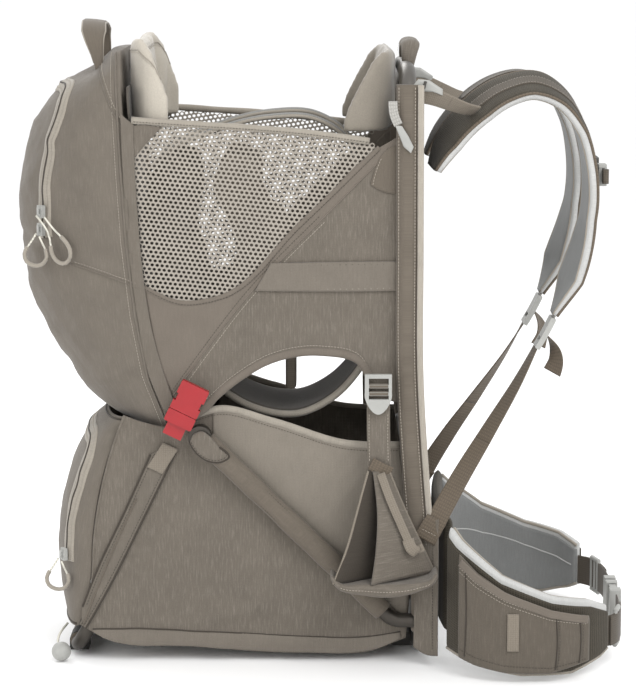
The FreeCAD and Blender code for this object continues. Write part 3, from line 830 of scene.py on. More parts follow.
def cockpit_sides():
    """Each side: cloth above and below the diagonal seam, a gore at the rear, bound leg opening and pocket band."""
    lower = cloth_patch("side_lower", LEG_ARCH, DIAGONAL, [(-246, 284), (-251, 295), (-258, 308)],
                        [(-5, 300), (-7, 440), (-7, 592)], 90, 80, F_MAIN, side_x)
    upper = cloth_patch("side_upper", DIAGONAL, NET_LOW + [(-7, 598)],
                        [(-258, 308), (-270, 335), (-284, 400), (-289, 430)], [(-7, 592), (-7, 595), (-7, 598)],
                        90, 30, F_DARK, over(side_x, 0.0003))
    seam = tube("diagonal_seam", on_side(DIAGONAL, 0.0007), 0.0009, F_DARK)
    s1 = stitches(on_side(shifted(DIAGONAL[:-1], 3, -3), 0.0007), OUT, THREAD)
    s2 = stitches(on_side(shifted(DIAGONAL[:-1], -3, 3), 0.0009), OUT, THREAD_DARK)
    arch = LEG_ARCH[1:-1]
    edge = strap("leg_binding", on_side(arch, 0.0004), OUT, 0.0045, 0.009, F_DARK, edge=0.002)
    s3 = stitches(on_side(shifted(arch, 0, 7), 0.0008), OUT, THREAD)

    def band_x(y, z):
        return side_x(y, z) + 0.0024 + 0.0003 * np.sin(y * 900)
    band = cloth_patch("pocket_band", [(-166, 427), (-90, 426), (-7, 427)], [(-148, 458), (-90, 459), (-7, 460)],
                       [(-166, 427), (-157, 442), (-148, 458)], [(-7, 427), (-7, 443), (-7, 460)], 70, 14, F_BASE,
                       band_x, 0.0022)
    s4 = stitches(on_side([(-163, 430), (-90, 429), (-10, 430)], 0.0028), OUT, THREAD)
    s5 = stitches(on_side([(-150, 455), (-90, 456), (-10, 457)], 0.0028), OUT, THREAD_DARK)
    patch = cloth_patch("corner_patch", [(-38, 545), (-26, 538), (-8, 534)], [(-26, 578), (-20, 584), (-8, 589)],
                        [(-38, 545), (-33, 562), (-26, 578)], [(-8, 534), (-8, 560), (-8, 589)], 14, 16, F_BAND,
                        over(side_x, 0.0014))
    s6 = stitches(on_side([(-35, 546), (-31, 562), (-25, 576)], 0.0024), OUT, THREAD)
    gore = cloth_patch("rear_gore", [(-268, 292), (-262, 289), (-250, 286)], [(-313, 624), (-307, 618), (-299, 612)],
                       [(-268, 292), (-284, 330), (-297, 400), (-306, 480), (-311, 560), (-313, 624)],
                       [(-250, 286), (-263, 320), (-282, 390), (-288, 430), (-296, 528), (-299, 612)], 16, 90,
                       F_POCKET, over(side_x, 0.0016))
    cloths = pair(join("cockpit_side", [gore, lower, upper]), "frame", "cockpit_side")
    trims = pair(join("cockpit_side_trim", [seam, s1, s2, edge, s3, band, s4, s5, patch, s6]), "frame",
                 "cockpit_side_trim")
    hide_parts("side_panels")


def inside(poly, y, z):
    hit = np.zeros(y.shape, bool)
    for (y0, z0), (y1, z1) in zip(poly, poly[1:] + poly[:1]):
        hit ^= ((z0 > z) != (z1 > z)) & (y < (y1 - y0) * (z - z0) / ((z1 - z0) or 1e-9) + y0)
    return hit


def net_cloth(turn):
    """Knitted net: six-sided openings between thin yarns, cut to the panel's outline; turn leans its rows."""
    poly = [tuple(p) for line in (curve(NET_LOW, 60), curve(RIM, 60), curve(SEAM_TOP, 30)[::-1]) for p in line]
    py, pz = 5.5, 4.76          # spacing of the openings along a row and between rows
    ca, sa = math.cos(turn), math.sin(turn)
    verts, faces, key = [], [], {}

    def turned(a, b):
        return -160 + a * ca - b * sa, 515 + a * sa + b * ca

    def vert(a, b):
        k = (round(a, 2), round(b, 2))
        if k not in key:
            key[k] = len(verts)
            verts.append(turned(a, b))
        return key[k]
    cells = [(i * py + (py / 2 if j % 2 else 0), j * pz) for j in range(-42, 43) for i in range(-38, 39)]
    for (a0, b0), ok in zip(cells, inside(poly, *np.array([turned(a, b) for a, b in cells]).T)):
        if not ok:
            continue
        outer, inner = [], []
        for k in range(6):
            t = math.radians(60 * k + 30)
            outer.append(vert(a0 + py / math.sqrt(3) * math.cos(t), b0 + pz / 1.5 * math.sin(t)))
            inner.append(vert(a0 + 2.0 * math.cos(t), b0 + 1.75 * math.sin(t)))
        faces += [(outer[k], outer[k - 5], inner[k - 5], inner[k]) for k in range(6)]
    v = np.array(verts) * MM
    ob = make("net", np.column_stack([side_x(v[:, 0], v[:, 1]) - 0.0006, v]), faces, F_NET, v, fix=False)
    sol = ob.modifiers.new("thick", "SOLIDIFY")
    sol.thickness = 0.0007
    sol.offset = 0
    bpy.context.view_layer.objects.active = ob
    bpy.ops.object.modifier_apply(modifier=sol.name)
    return ob


def net_panels():
    for tag, turn in (("R", math.radians(-6)), ("L", math.radians(9))):
        net = net_cloth(turn)
        edge = strap("net_edge", on_side(NET_LOW, 0.0006), OUT, 0.0022, 0.006, F_DARK, edge=0.001)
        row = stitches(on_side(shifted(NET_LOW, 1.5, -1.5), 0.0018), OUT, THREAD_DARK)
        corner = blob("net_corner", [(-301, 610), (-286, 611), (-268, 608), (-283, 592), (-299, 574), (-300, 590)],
                      lambda a, b: np.stack([side_x(a * MM, b * MM) + 0.0007, a * MM, b * MM], axis=-1),
                      0.0016, F_MAIN, smooth=False)
        net.name = "net_panel_" + tag
        trim = join("net_trim_" + tag, [edge, row, corner])
        for o in (net, trim):
            if tag == "L":
                flip(o)
            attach(o, "frame")
        if tag == "R":
            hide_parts("net_panels")


def rim_bindings():
    p = on_side(shifted(RIM[1:], 0, 3.8), 0.0, n=50)
    slack = 1 + 0.06 * np.sin(np.linspace(0, 26, len(p)))
    body = sweep("rim", p, OUT, flat_section(0.007, 0.0078, 0, 0.0034), F_LIGHT, scale=np.stack([slack, slack], axis=1))
    row = stitches(p + np.array([0.0036, 0, -0.0012]), OUT, THREAD_DARK)
    right, _ = pair(join("rim_binding", [body, row]), "frame", "rim_binding")
    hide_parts("rim_bindings")


def across(half, columns, line):
    """Grid in metres that carries a (y, z) line in mm from one side to the other."""
    p = np.zeros((columns, len(line), 3))
    p[..., 0] = np.linspace(-half, half, columns)[:, None]
    p[..., 1:] = line[None]
    return p * MM


def cockpit_lining():
    path = [(-249, 286), (-270, 316), (-287, 400), (-292, 430), (-301, 528), (-304, 612), (-305, 652)]
    p = across(120, 41, curve(path, 60))
    p[..., 1] += 0.0012 * soft_noise(p, 30)
    wall = shell("cockpit_rear_lining", p, 0.002, F_LINING)
    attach(wall, "frame")
    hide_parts("cockpit_rear_wall")


for build in (frame_sleeves, strut_sleeves, cockpit_sides, net_panels, rim_bindings, cockpit_lining):
    build()

# ------------------------------------------------------------------ rear pocket and its zip


def domed(z, seam, rear, half, t):
    """Points in metres on a domed panel; t runs 0..1 from the wearer's right seam to the left one."""
    a = np.pi * t
    x = half * np.cos(a)
    y = seam - (seam - rear) * np.maximum(np.sin(a), 0) ** 0.9
    return np.stack([x, y, z * np.ones_like(x)], axis=-1) * MM


def crease(d, width, height):
    return height * np.exp(-(d / width) ** 2)


def pocket_relief(p):
    """Slack and stuffing: broad lumps, folds that run from the seam and small creases."""
    y, z = p[..., 1], p[..., 2]
    out = 0.0030 * soft_noise(p, 15, 1.0) + 0.0016 * soft_noise(p, 38, 3.0) + 0.0004 * soft_noise(p, 110, 2.0)
    out += (crease((z - 0.455) + 0.42 * (y + 0.372), 0.006, -0.0022) * np.clip((-0.285 - y) / 0.03, 0, 1)
            * np.clip((-y - 0.29) / 0.02, 0, 1))
    out += crease((z - 0.330) - 0.30 * (y + 0.33) - 0.006 * np.sin(y * 60), 0.007, 0.0016)
    return out + (crease((z - 0.575) + 0.55 * (y + 0.36) + 0.004 * np.sin(y * 90), 0.006, 0.0014)
                  * np.clip((-0.32 - y) / 0.03, 0, 1))


def rear_pocket():
    nt, nz = 150, 130
    tt, zz = np.meshgrid(np.linspace(0, 1, nt), np.linspace(264, 690, nz), indexing="ij")
    c = curve(POCKET, 200)
    p = domed(zz, *[np.interp(zz, c[:, 0], c[:, i]) for i in (1, 2, 3)], tt)
    ease = np.minimum(1, np.minimum(tt, 1 - tt) / 0.06) * np.minimum(1, np.minimum(zz - 264, 690 - zz) / 24)
    p = p + (facing(grid_normals(p), (nt // 2, nz // 2), 1, -1)
             * (pocket_relief(p) * ease - 0.0010)[..., None])
    lu = np.cumsum(np.concatenate([np.zeros((1, nz)), np.linalg.norm(np.diff(p, axis=0), axis=2)]), axis=0)
    # front, bottom and top close onto the seam plane
    faces = quads(nt, nz) + [tuple(list(range(nz)) + [(nt - 1) * nz + j for j in reversed(range(nz))]),
                             tuple(i * nz for i in range(nt)), tuple(i * nz + nz - 1 for i in reversed(range(nt)))]
    return make("rear_pocket_cloth", p.reshape(-1, 3), faces, F_POCKET, np.stack([lu, zz * MM], axis=2).reshape(-1, 2))


def zip_line(half, low, high, bend):
    """An arch of zip in (x, z), with round corners."""
    out = [(-half, low)]
    for side, start in ((-1, math.pi), (1, math.pi / 2)):
        for k in range(9):
            a = start - math.pi / 2 * k / 8
            out.append((side * (half - bend) + bend * math.cos(a), high - bend + bend * math.sin(a)))
    return out + [(half, low)]


def tape_on(tree, line, name, width):
    """Light tape, raised lips and a dark coil down the middle, laid on a surface from behind."""
    pts, nrm = lay(tree, [(x * MM, -0.6, z * MM) for x, z in dense(line)], (0, 1, 0), 0.0005)
    _, s, _ = frames(pts, np.cross(np.gradient(pts, axis=0), nrm))
    lip = [(-0.5, -0.0004), (-0.47, 0.0008), (-0.3, 0.0010), (-0.16, 0.0013), (-0.10, 0.0024), (-0.04, 0.0022)]
    rows = []
    for a, h in lip + [(0.0, 0.0006)] + [(-a, h) for a, h in reversed(lip)]:
        row = []
        for c, m in zip(pts + s * (a * width), nrm):
            hit, _, _, _ = tree.ray_cast(Vector(c + m * 0.03), Vector(-m))
            row.append(np.array(hit) if hit is not None and (hit - Vector(c)).length < 0.012 else c)
        row = np.array(row)
        for _ in range(2):
            row[1:-1] = (row[:-2] + 2 * row[1:-1] + row[2:]) / 4
        rows.append(row + nrm * h)
    tape = shell(name, np.stack(rows, axis=1), 0.0008, F_LIGHT)
    coil = tube(name + "_coil", pts + nrm * 0.0022, 0.0011, THREAD_DARK, n=len(pts), sides=6)
    return join(name, [tape, coil] + [stitches(rows[j] + nrm * 0.0006, nrm, THREAD) for j in (2, 10)])


def pocket():
    """The stuffed pocket, its zip, the piping along its seam and two faint seams."""
    cloth = rear_pocket()
    tree = bvh_of(cloth)
    zipper = tape_on(tree, zip_line(89, 482, 650, 44), "upper_zip_tape", 0.021)
    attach(zipper, "frame")
    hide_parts("upper_zip")

    def from_right(line, lift):
        return lay(tree, [(0.4, y * MM, z * MM) for y, z in line], (-1, 0, 0), lift)

    def beside_seam(gap):
        return [(np.interp(z, POCKET[:, 0], POCKET[:, 1]) - gap, z) for z in np.linspace(268, 688, 120)]
    parts = [tube("pocket_seam", from_right(beside_seam(5.5), 0.0004)[0], 0.0013, F_POCKET, n=110),
             stitches(*from_right(beside_seam(11), 0.0003), THREAD)]
    for line in ([(-290, 428), (-330, 443), (-372, 455)], [(-312, 607), (-324, 630), (-334, 655), (-341, 674)]):
        c = curve(line, 40)
        parts.append(tube("faint_seam", from_right(c, 0.0002)[0], 0.0009, F_POCKET, n=36, sides=6))
        parts.append(stitches(*from_right(c + 3, 0.0003), THREAD))
    pair(join("pocket_seam_lines", parts), "frame", "pocket_seam_lines")
    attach(cloth, "frame")
    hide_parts("rear_pocket")


def cord_piece(name, points, radius, mat):
    """The cord's own points as the control points of one smooth curve."""
    cu = bpy.data.curves.new(name, "CURVE")
    cu.dimensions = "3D"
    cu.bevel_depth = radius
    cu.bevel_resolution = 3
    sp = cu.splines.new("NURBS")
    sp.points.add(len(points) - 1)
    for q, p in zip(sp.points, points):
        q.co = (p[0] * MM, p[1] * MM, p[2] * MM, 1.0)
    sp.order_u = 3
    sp.use_endpoint_u = True
    sp.resolution_u = 10
    ob = add_object(name, cu)
    cu.materials.append(mat)
    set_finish(ob, SLOT_OF[mat.name])
    return ob


# the pulls' loops of cord, as (forward, up) steps in mm from the slider's bridge
TEARDROP = [
    (0, 0), (-4, -7), (-10, -15), (-13.5, -23.5), (-11.5, -31), (-5, -35.5), (2.5, -36), (9, -32), (12, -25),
    (10.5, -17), (6.5, -10), (3.6, -3.2),
]
LONG_LOOP = [
    (0, 0), (5.5, -6.5), (11.5, -14), (15.2, -23), (16.5, -33), (18.2, -42.5), (23.8, -50), (32, -52),
    (38.2, -46.5), (39, -37.5), (35, -29), (28.5, -22), (21.5, -15.5), (15, -8.2), (9.6, -1.6),
]


def dome_skin(rows, x, z, lift):
    """Point and outward angle on a domed panel, lifted off its surface; all in mm."""
    for low, high in zip(rows, rows[1:]):
        if low[0] <= z <= high[0]:
            f = (z - low[0]) / (high[0] - low[0])
            seam, rear, half = [a + (b - a) * f for a, b in zip(low[1:], high[1:])]
    t = math.acos(x / half)
    y = seam - (seam - rear) * math.sin(t) ** 0.9
    turn = math.atan(0.9 * (seam - rear) * math.sin(t) ** -0.1 * math.cos(t) / (half * math.sin(t)))
    return (x + lift * math.sin(turn), y - lift * math.cos(turn), z), turn


def pull_points(centre, turn, line):
    """Loop of cord that hangs from a slider's bridge; line is its shape as (forward, up) steps."""
    x, y, z = centre[0] + 7.2 * math.sin(turn), centre[1] - 7.2 * math.cos(turn), centre[2] - 4
    return [(x + 0.45 * max(a, 0), y + a, z + b) for a, b in line]


def sampled_length(points):
    """Length of the smooth curve drawn by these control points, in metres."""
    p = np.array(points, float) * MM
    total = 0.0
    for i in range(len(p) - 2):
        a = p[0] if i == 0 else (p[i] + p[i + 1]) / 2
        b = p[i + 1]
        c = p[-1] if i == len(p) - 3 else (p[i + 1] + p[i + 2]) / 2
        u = np.linspace(0, 1, 40)[:, None]
        total += length((1 - u) ** 2 * a + 2 * u * (1 - u) * b + u ** 2 * c)
    return total


def pulls():
    jobs = (("upper_pull_a", dome_skin(POCKET, 90, 492, 6.4), TEARDROP, "upper_zip_run"),
            ("upper_pull_b", dome_skin(POCKET, 90, 512, 6.4), LONG_LOOP, "upper_zip_run"),
            ("lower_pull", dome_skin(BAG_REAR, 92, 120, 6.4), TEARDROP, "lower_zip_run"))
    for name, (centre, turn), line, body in jobs:
        pts = pull_points(centre, turn, line)
        ob = cord_piece(name + "_cord", pts, 0.0011, C_LIGHT)
        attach(ob, body)
        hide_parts(name)
        first, last = (2, 10) if line is TEARDROP else (4, 12)
        grip = tube(name + "_grip", mm(pts[first:last]), 0.0023, F_LIGHT, sides=12)
        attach(grip, body)
        [c * MM for c in pts[0]]
        sampled_length(pts)
    pts = [(74, -384.4, 33), (82, -389.5, 28.5), (90, -393.5, 22.5), (98, -394, 16.5), (105.5, -391, 12.2)]
    ob = cord_piece("bungee_cord", pts, 0.0014, C_LIGHT)
    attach(ob, "kickstand")
    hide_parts("bungee")
    [c * MM for c in pts[0]]
    sampled_length(pts)


pocket()
pulls()

# ------------------------------------------------------------------ face pads, seat and harness inside


def wall_fn(plan, low, high):
    """fn(u, v) for a band that stands on a plan path (x, y); its heights depend on y. All in mm."""
    place = sampled(plan, 161)
    (ly, lz), (hy, hz) = zip(*sorted(low)), zip(*sorted(high))

    def fn(u, v):
        px, py = place(u)
        zl = np.interp(py, ly, lz)
        return np.stack([px, py, zl + (np.interp(py, hy, hz) - zl) * v], axis=-1) * MM
    return fn


def line_on(fn, us, vs):
    """Points and normals along (u, v) pairs on a surface function."""
    e = 1e-3
    du = fn(np.clip(us + e, 0, 1), vs) - fn(np.clip(us - e, 0, 1), vs)
    dv = fn(us, np.clip(vs + e, 0, 1)) - fn(us, np.clip(vs - e, 0, 1))
    nn = np.cross(du, dv)
    return fn(us, vs), nn / np.maximum(np.linalg.norm(nn, axis=1, keepdims=True), 1e-12)


def face_pads():
    plan = [(110, -258), (108, -276), (92, -292), (50, -296), (0, -296), (-50, -296), (-92, -292), (-108, -276),
            (-110, -258)]
    rear = wall_fn(plan, [(-300, 602), (-280, 602), (-256, 607)],
                   [(-300, 706), (-289, 706), (-276, 690), (-262, 650), (-255, 628)])
    pad = pillow("face_pad_rear_cloth", rear, 90, 34, 0.0085, F_PAD, r=0.007, crown=0.15)
    puff(pad, 0.004)
    tree = bvh_of(pad)
    c, nn = line_on(rear, np.linspace(0.015, 0.985, 120), np.full(120, 0.86))
    seams = []
    for side in (1, -1):
        pts, nrm = press(tree, c, nn * side, 0.03, 0.014)
        if len(pts) > 8:
            seams.append(tube("pad_seam", pts + nrm * 0.0001, 0.0009, F_LIGHT, n=100, sides=6))
            seams.append(stitches(pts + nrm * 0.0004 - np.array([0, 0, 0.0028]), nrm, THREAD))
    ride("frame", pad, join("face_pad_rear_seams", seams))
    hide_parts("face_pad_rear")

    plan = [(108, -70), (106, -48), (96, -28), (55, -18), (0, -16), (-55, -18), (-96, -28), (-106, -48), (-108, -70)]
    front = wall_fn(plan, [(-72, 600), (-8, 600)], [(-72, 608), (-62, 634), (-50, 658), (-38, 680), (-25, 692),
                                                    (-8, 696)])
    pad = pillow("face_pad_front_cloth", front, 90, 30, 0.0085, F_PAD_FRONT, r=0.007, crown=0.15)
    puff(pad, 0.003)
    cushion(pad, "frame", "face_pad_front")


def child_seat():
    place = sampled([(-258, 356), (-236, 330), (-205, 306), (-173, 287), (-116, 279), (-82, 295), (-43, 339),
                     (-24, 384)], 121)

    def fn(u, v):
        return np.stack([(1 - 2 * u) * 70, *place(v)], axis=-1) * MM
    pad = pillow("child_seat_cushion", fn, 46, 70, 0.0092, F_LINING, r=0.008, crown=0.15)
    cushion(pad, "frame", "child_seat")
    rim = line_on(fn, np.full(90, 0.02), np.linspace(0.01, 0.99, 90))[0]
    rim[:, 0] = 0.0705
    pair(join("seat_piping", [tube("seat_piping", rim, 0.0040, F_LIGHT, n=90, sides=12),
                              stitches(rim + np.array([0.0034, 0, -0.0002]), OUT, THREAD)]), "frame", "seat_piping")


def child_harness():
    """The child's shoulder straps with spacer covers and bound edges, chest webbing and crotch pad."""
    n = 110
    p = curve(yz([(-292, 548), (-266, 574), (-215, 598), (-150, 614), (-98, 612), (-62, 588), (-50, 545), (-58, 480),
                  (-88, 400), (-122, 352)], 42), n)
    fat = 1 + 0.04 * np.sin(np.linspace(0, 40, n))
    w = np.interp(np.linspace(0, 1, n), [0, 0.06, 0.12, 0.62, 0.70, 1], [0.7, 0.95, 1, 1, 0.72, 0.66])
    parts = [sweep("harness_strap", p, OUT, flat_section(0.030, 0.0042, 0.0006, 0.003), F_MAIN,
                   scale=np.stack([w, fat], axis=1)),
             sweep("harness_cover", p[4:70], OUT, flat_section(0.031, 0.0049, 0.0007, 0.0024), F_SPACER_IN,
                   scale=np.stack([w * 0.93, fat], axis=1)[4:70])]
    _, s, _ = frames(p, OUT)
    for k in (-1, 1):
        parts.append(tube("harness_edge", (p + s * (0.0138 * k * w[:, None]))[2:72], 0.0021, F_LIGHT, n=100))
    straps = pair(join("child_harness_strap", parts), "frame", "child_harness_strap")
    chest = pillow("harness_buckle", lambda u, v: np.stack([(u - 0.5) * 48, -127 + 0 * u, 298 + 50 * v], axis=-1) * MM,
                   24, 24, 0.0125, W_TAUPE, r=0.004)
    web = strap("harness_chest_webbing", mm([(-42, -70, 520), (0, -67.5, 517), (42, -70, 520)]), (0, 0, 1), 0.018,
                0.0014, W_DARK)
    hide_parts("child_harness")
    ride("frame", chest, web)


def torso_wings():
    """Padded wings of the child's harness, seen through the net."""
    rear = [(-284, 452), (-268, 408), (-240, 378), (-216, 392), (-226, 440), (-238, 486), (-230, 530), (-238, 566),
            (-266, 574), (-288, 530)]
    mid = [(-196, 372), (-158, 392), (-124, 440), (-132, 488), (-158, 520), (-166, 566), (-196, 574), (-214, 540),
           (-196, 500), (-186, 452), (-206, 408)]
    for name, line, x, mat in (("torso_wing_rear", rear, 84, F_LINING), ("torso_wing_middle", mid, 78, F_DARK)):
        wing = blob(name, line, lambda a, b: np.stack([x + 5 * np.sin(a * 0.021) + 3 * np.sin(b * 0.03), a, b],
                                                      axis=-1) * MM, 0.009, mat)
        for o in pair(wing, "frame", name):
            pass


for build in (face_pads, child_seat, child_harness, torso_wings):
    build()

# ------------------------------------------------------------------ lower bag

BAG_BACK = [(-366, 42), (-356, 62), (-352, 90), (-348, 149), (-338, 206), (-327, 246), (-313, 284)]


def bag_x(y, z):
    """Side of the bag: stretched round its ends, slack in the middle, pressed in under the struts."""
    u = np.clip((y + 0.38) / 0.37, 0, 1)
    v = np.clip((z - 0.012) / 0.26, 0, 1)
    swell = np.sin(np.pi * u) * np.sin(np.pi * np.clip(v * 1.1, 0, 1))
    strut = np.abs((z - 0.262) + (y + 0.228) * 0.981) / 1.40
    calm = np.clip((strut - 0.012) / 0.05, 0, 1) * np.clip((y + 0.352) / 0.03, 0, 1)
    p = np.stack([np.zeros_like(y), y, z], axis=-1)
    slack = (0.0042 * swell + 0.0016 * soft_noise(p, 26, 4.0) + 0.0009 * soft_noise(p, 64, 1.0)
             + crease((z - 0.055) - 0.16 * (y + 0.2) - 0.004 * np.sin(y * 34), 0.008, 0.0013)
             + crease((z - 0.112) + 0.33 * (y + 0.25) - 0.004 * np.sin(y * 41), 0.007, 0.0012))
    return BAG_X * MM + slack * calm


def on_bag(points, lift):
    return on_side(points, lift, bag_x)


def bag_sides():
    main = cloth_patch("bag_main", [(-366, 42), (-343, 29), (-230, 17), (-116, 10), (-25, 16), (4, 27)],
                       [(-313, 284), (-290, 276), (-262, 272), (-240, 283), (-208, 293), (-150, 280), (-65, 254),
                        (-4, 252)], BAG_BACK, [(4, 27), (7, 60), (8, 110), (4, 170), (-4, 252)], 120, 100, F_MAIN,
                       bag_x)
    # lighter gusset above the diagonal band, bound at its top edge
    top = [(-262, 271), (-240, 282), (-208, 292), (-150, 279), (-65, 253), (-4, 251)]
    parts = [cloth_patch("bag_gusset", [(-214, 262), (-150, 198), (-80, 130), (5, 48)],
                         [(-214, 290), (-180, 288), (-150, 279), (-65, 253), (-4, 251)],
                         [(-214, 262), (-214, 276), (-214, 290)], [(5, 48), (7, 150), (-4, 251)], 80, 70, F_GUSSET,
                         over(bag_x, 0.0012)),
             strap("bag_top_binding", on_bag(top, 0.0012), OUT, 0.0042, 0.008, F_LIGHT, edge=0.0018),
             stitches(on_bag(shifted(top, 0, -6.5), 0.0018), OUT, THREAD_DARK)]
    # lighter base cloth wraps up onto the side
    lift = [(-352, 37), (-330, 38), (-230, 35), (-116, 29), (-40, 28), (-2, 34)]
    parts.append(cloth_patch(
        "bag_base_wrap", [(-352, 34), (-343, 29), (-230, 17), (-116, 10), (-25, 16), (-2, 27)], lift,
        [(-352, 34), (-352, 35.5), (-352, 37)], [(-2, 27), (-2, 30), (-2, 34)], 90, 12, F_BASE,
        lambda y, z: bag_x(y, z) + 0.0010 + 0.0012 * np.sin(np.clip((z - 0.012) / 0.022, 0, 1) * 3.1)))
    parts.append(tube("bag_base_seam", on_bag(lift, 0.0010), 0.0010, F_EDGE))
    # tapered sleeve over the folding leg
    rear = [(-284, 240), (-313, 176), (-347, 104), (-363, 64)]
    fore = [(-256, 242), (-296, 160), (-334, 84), (-360, 38)]
    parts.append(cloth_patch("leg_sleeve", fore, rear, [fore[0], (-271, 245), rear[0]],
                             [fore[-1], (-364, 48), rear[-1]], 70, 16, F_POCKET, over(bag_x, 0.0022)))
    for line, inward in ((fore, -4), (rear, 4)):
        parts.append(tube("leg_edge", on_bag(line, 0.0024), 0.0013, F_EDGE))
        parts.append(stitches(on_bag(shifted(line, inward, 0), 0.0036), OUT, THREAD_DARK))
    parts.append(tube("leg_seam", on_bag([(-300, 190), (-330, 124), (-352, 70), (-362, 44)], 0.0032), 0.0009, F_BAND))
    parts.append(cloth_patch("leg_tab", [(-271, 218), (-262, 232), (-253, 246)],
                             [(-288, 226), (-279, 240), (-270, 254)], [(-271, 218), (-279, 222), (-288, 226)],
                             [(-253, 246), (-261, 250), (-270, 254)], 14, 12, W_TAUPE, over(bag_x, 0.0040)))
    parts.append(tube("rear_corner_piping", on_bag(BAG_BACK, -0.0004), 0.0016, F_MAIN, sides=10))
    trim = join("bag_side_trim_R", parts)
    main.name = "bag_side_R"
    for cloth, extra in ((main, trim), (mirror(main, "bag_side_L"), mirror(trim, "bag_side_trim_L"))):
        for o in (cloth, extra):
            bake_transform(o)
    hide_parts("bag_sides")


def bag_base():
    p = across(111, 60, curve(BAG_BASE, 80))
    edge = np.clip((0.111 - np.abs(p[..., 0])) / 0.05, 0, 1)
    clear = np.clip(p[..., 2] - 0.0075, 0, 1)
    p[..., 2] += np.maximum(edge * (0.0016 * soft_noise(p, 30, 6.0) - 0.002), -clear)
    base = shell("bag_base_cloth", p, 0.0022, F_BASE)
    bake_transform(base)
    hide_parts("bag_base_panel")


def bag_rear():
    """The bag's domed rear panel with its zip and hems, and the sleeve over the kickstand's foot bar."""
    t = np.linspace(0, 1, 120)[:, None]
    p = domed(*curve(BAG_REAR, 100).T[:, None], t)
    n = facing(grid_normals(p), (60, 50), 1, -1)
    ease = np.minimum(1, np.minimum(t, 1 - t) / 0.08) * np.sin(np.pi * np.linspace(0, 1, 100)[None]) ** 0.6
    relief = 0.0020 * soft_noise(p, 22, 8.0) + 0.0009 * soft_noise(p, 60, 9.0)
    p = p + n * (relief * ease - 0.0012)[..., None]
    panel = shell("bag_rear_cloth", p, 0.0022, F_POCKET)
    zipper = tape_on(bvh_of(panel), zip_line(92, 112, 254, 24), "lower_zip_tape", 0.023)
    hem = join("bag_rear_hem", [tube("rear_hem", (p[:, k] + n[:, k] * 0.0010)[4:116], 0.0013, F_EDGE, n=110)
                                for k in (1, 97)])
    for o in (panel, zipper, hem):
        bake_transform(o)
    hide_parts("bag_rear_panel")
    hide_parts("lower_zip")
    bar = tube("foot_bar_sleeve", mm([(-72, -373, 12), (-30, -373, 12), (0, -373, 12.2), (30, -373, 12),
                                      (72, -373, 12)]), 0.0092, F_BAND, sides=14)
    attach(bar, "kickstand")


# ------------------------------------------------------------------ back and handles


def back_parts():
    place = sampled([(17.5, 197), (14, 240), (11, 330), (10, 480), (10, 635)], 121)

    def fn(u, v):
        return np.stack([(2 * u - 1) * 109.5, *place(v)], axis=-1) * MM
    cushion(pillow("back_panel_cloth", fn, 60, 100, 0.0085, F_SPACER, r=0.006), "frame", "back_panel_pad")
    wall = wall_fn([(133, 51), (70, 46), (0, 44), (-70, 46), (-133, 51)], [(44, 40), (51, 40)], [(44, 170), (51, 170)])
    lumbar = pillow("lumbar_cushion", wall, 70, 44, 0.0115, F_SPACER, r=0.009, crown=0.12)
    cushion(lumbar, "frame", "lumbar_pad")


def handles():
    """Rolled handle on the hoop's top, and a webbing handle behind the rear face pad."""
    loop = mm([(-46, 5.5, 668), (-43, 6.5, 684), (-36, 8, 692), (0, 8.2, 692.5), (36, 8, 692), (43, 6.5, 684),
               (46, 5.5, 668)])
    wide = np.interp(np.abs(np.linspace(-1, 1, 60)), [0, 0.55, 0.8, 1], [1.0, 1.0, 0.8, 0.55])
    roll = sweep("front_handle", curve(loop, 60), (0, 1, 0), ring(0.0104, 20, 0.0060), F_MAIN,
                 scale=np.stack([wide, np.ones(60)], axis=1))
    row = stitches(curve(loop, 50) + np.array([0, -0.0102, 0]), (0, -1, 0), THREAD)
    front = join("front_handle", [roll, row])
    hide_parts("grab_handle_front")
    c = curve(mm([(-60, -341, 668), (-56, -343, 684), (-47, -347, 703), (-24, -349, 717), (0, -350, 719.5),
                  (24, -349, 717), (47, -347, 703), (56, -343, 684), (60, -341, 668)]), 90)
    w = np.interp(np.abs(np.linspace(-1, 1, 90)), [0, 0.45, 0.8, 1], [0.92, 0.95, 0.5, 0.28])
    web = sweep("rear_handle_web", c, (0, 1, -0.1), flat_section(0.027, 0.0034, 0.0006), F_BAND,
                scale=np.stack([w, 1.2 - 0.2 * w], axis=1))
    wrap = sweep("rear_handle_wrap", c[4:86] - np.array([0, 0, 0.0004]), (0, 1, -0.1),
                 flat_section(0.030, 0.0020, 0.0002), F_LIGHT, scale=np.stack([w, w], axis=1)[4:86])
    rear = join("rear_handle", [web, wrap])
    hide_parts("grab_handle_rear")
    ride("frame", front, rear)


# ------------------------------------------------------------------ stirrups


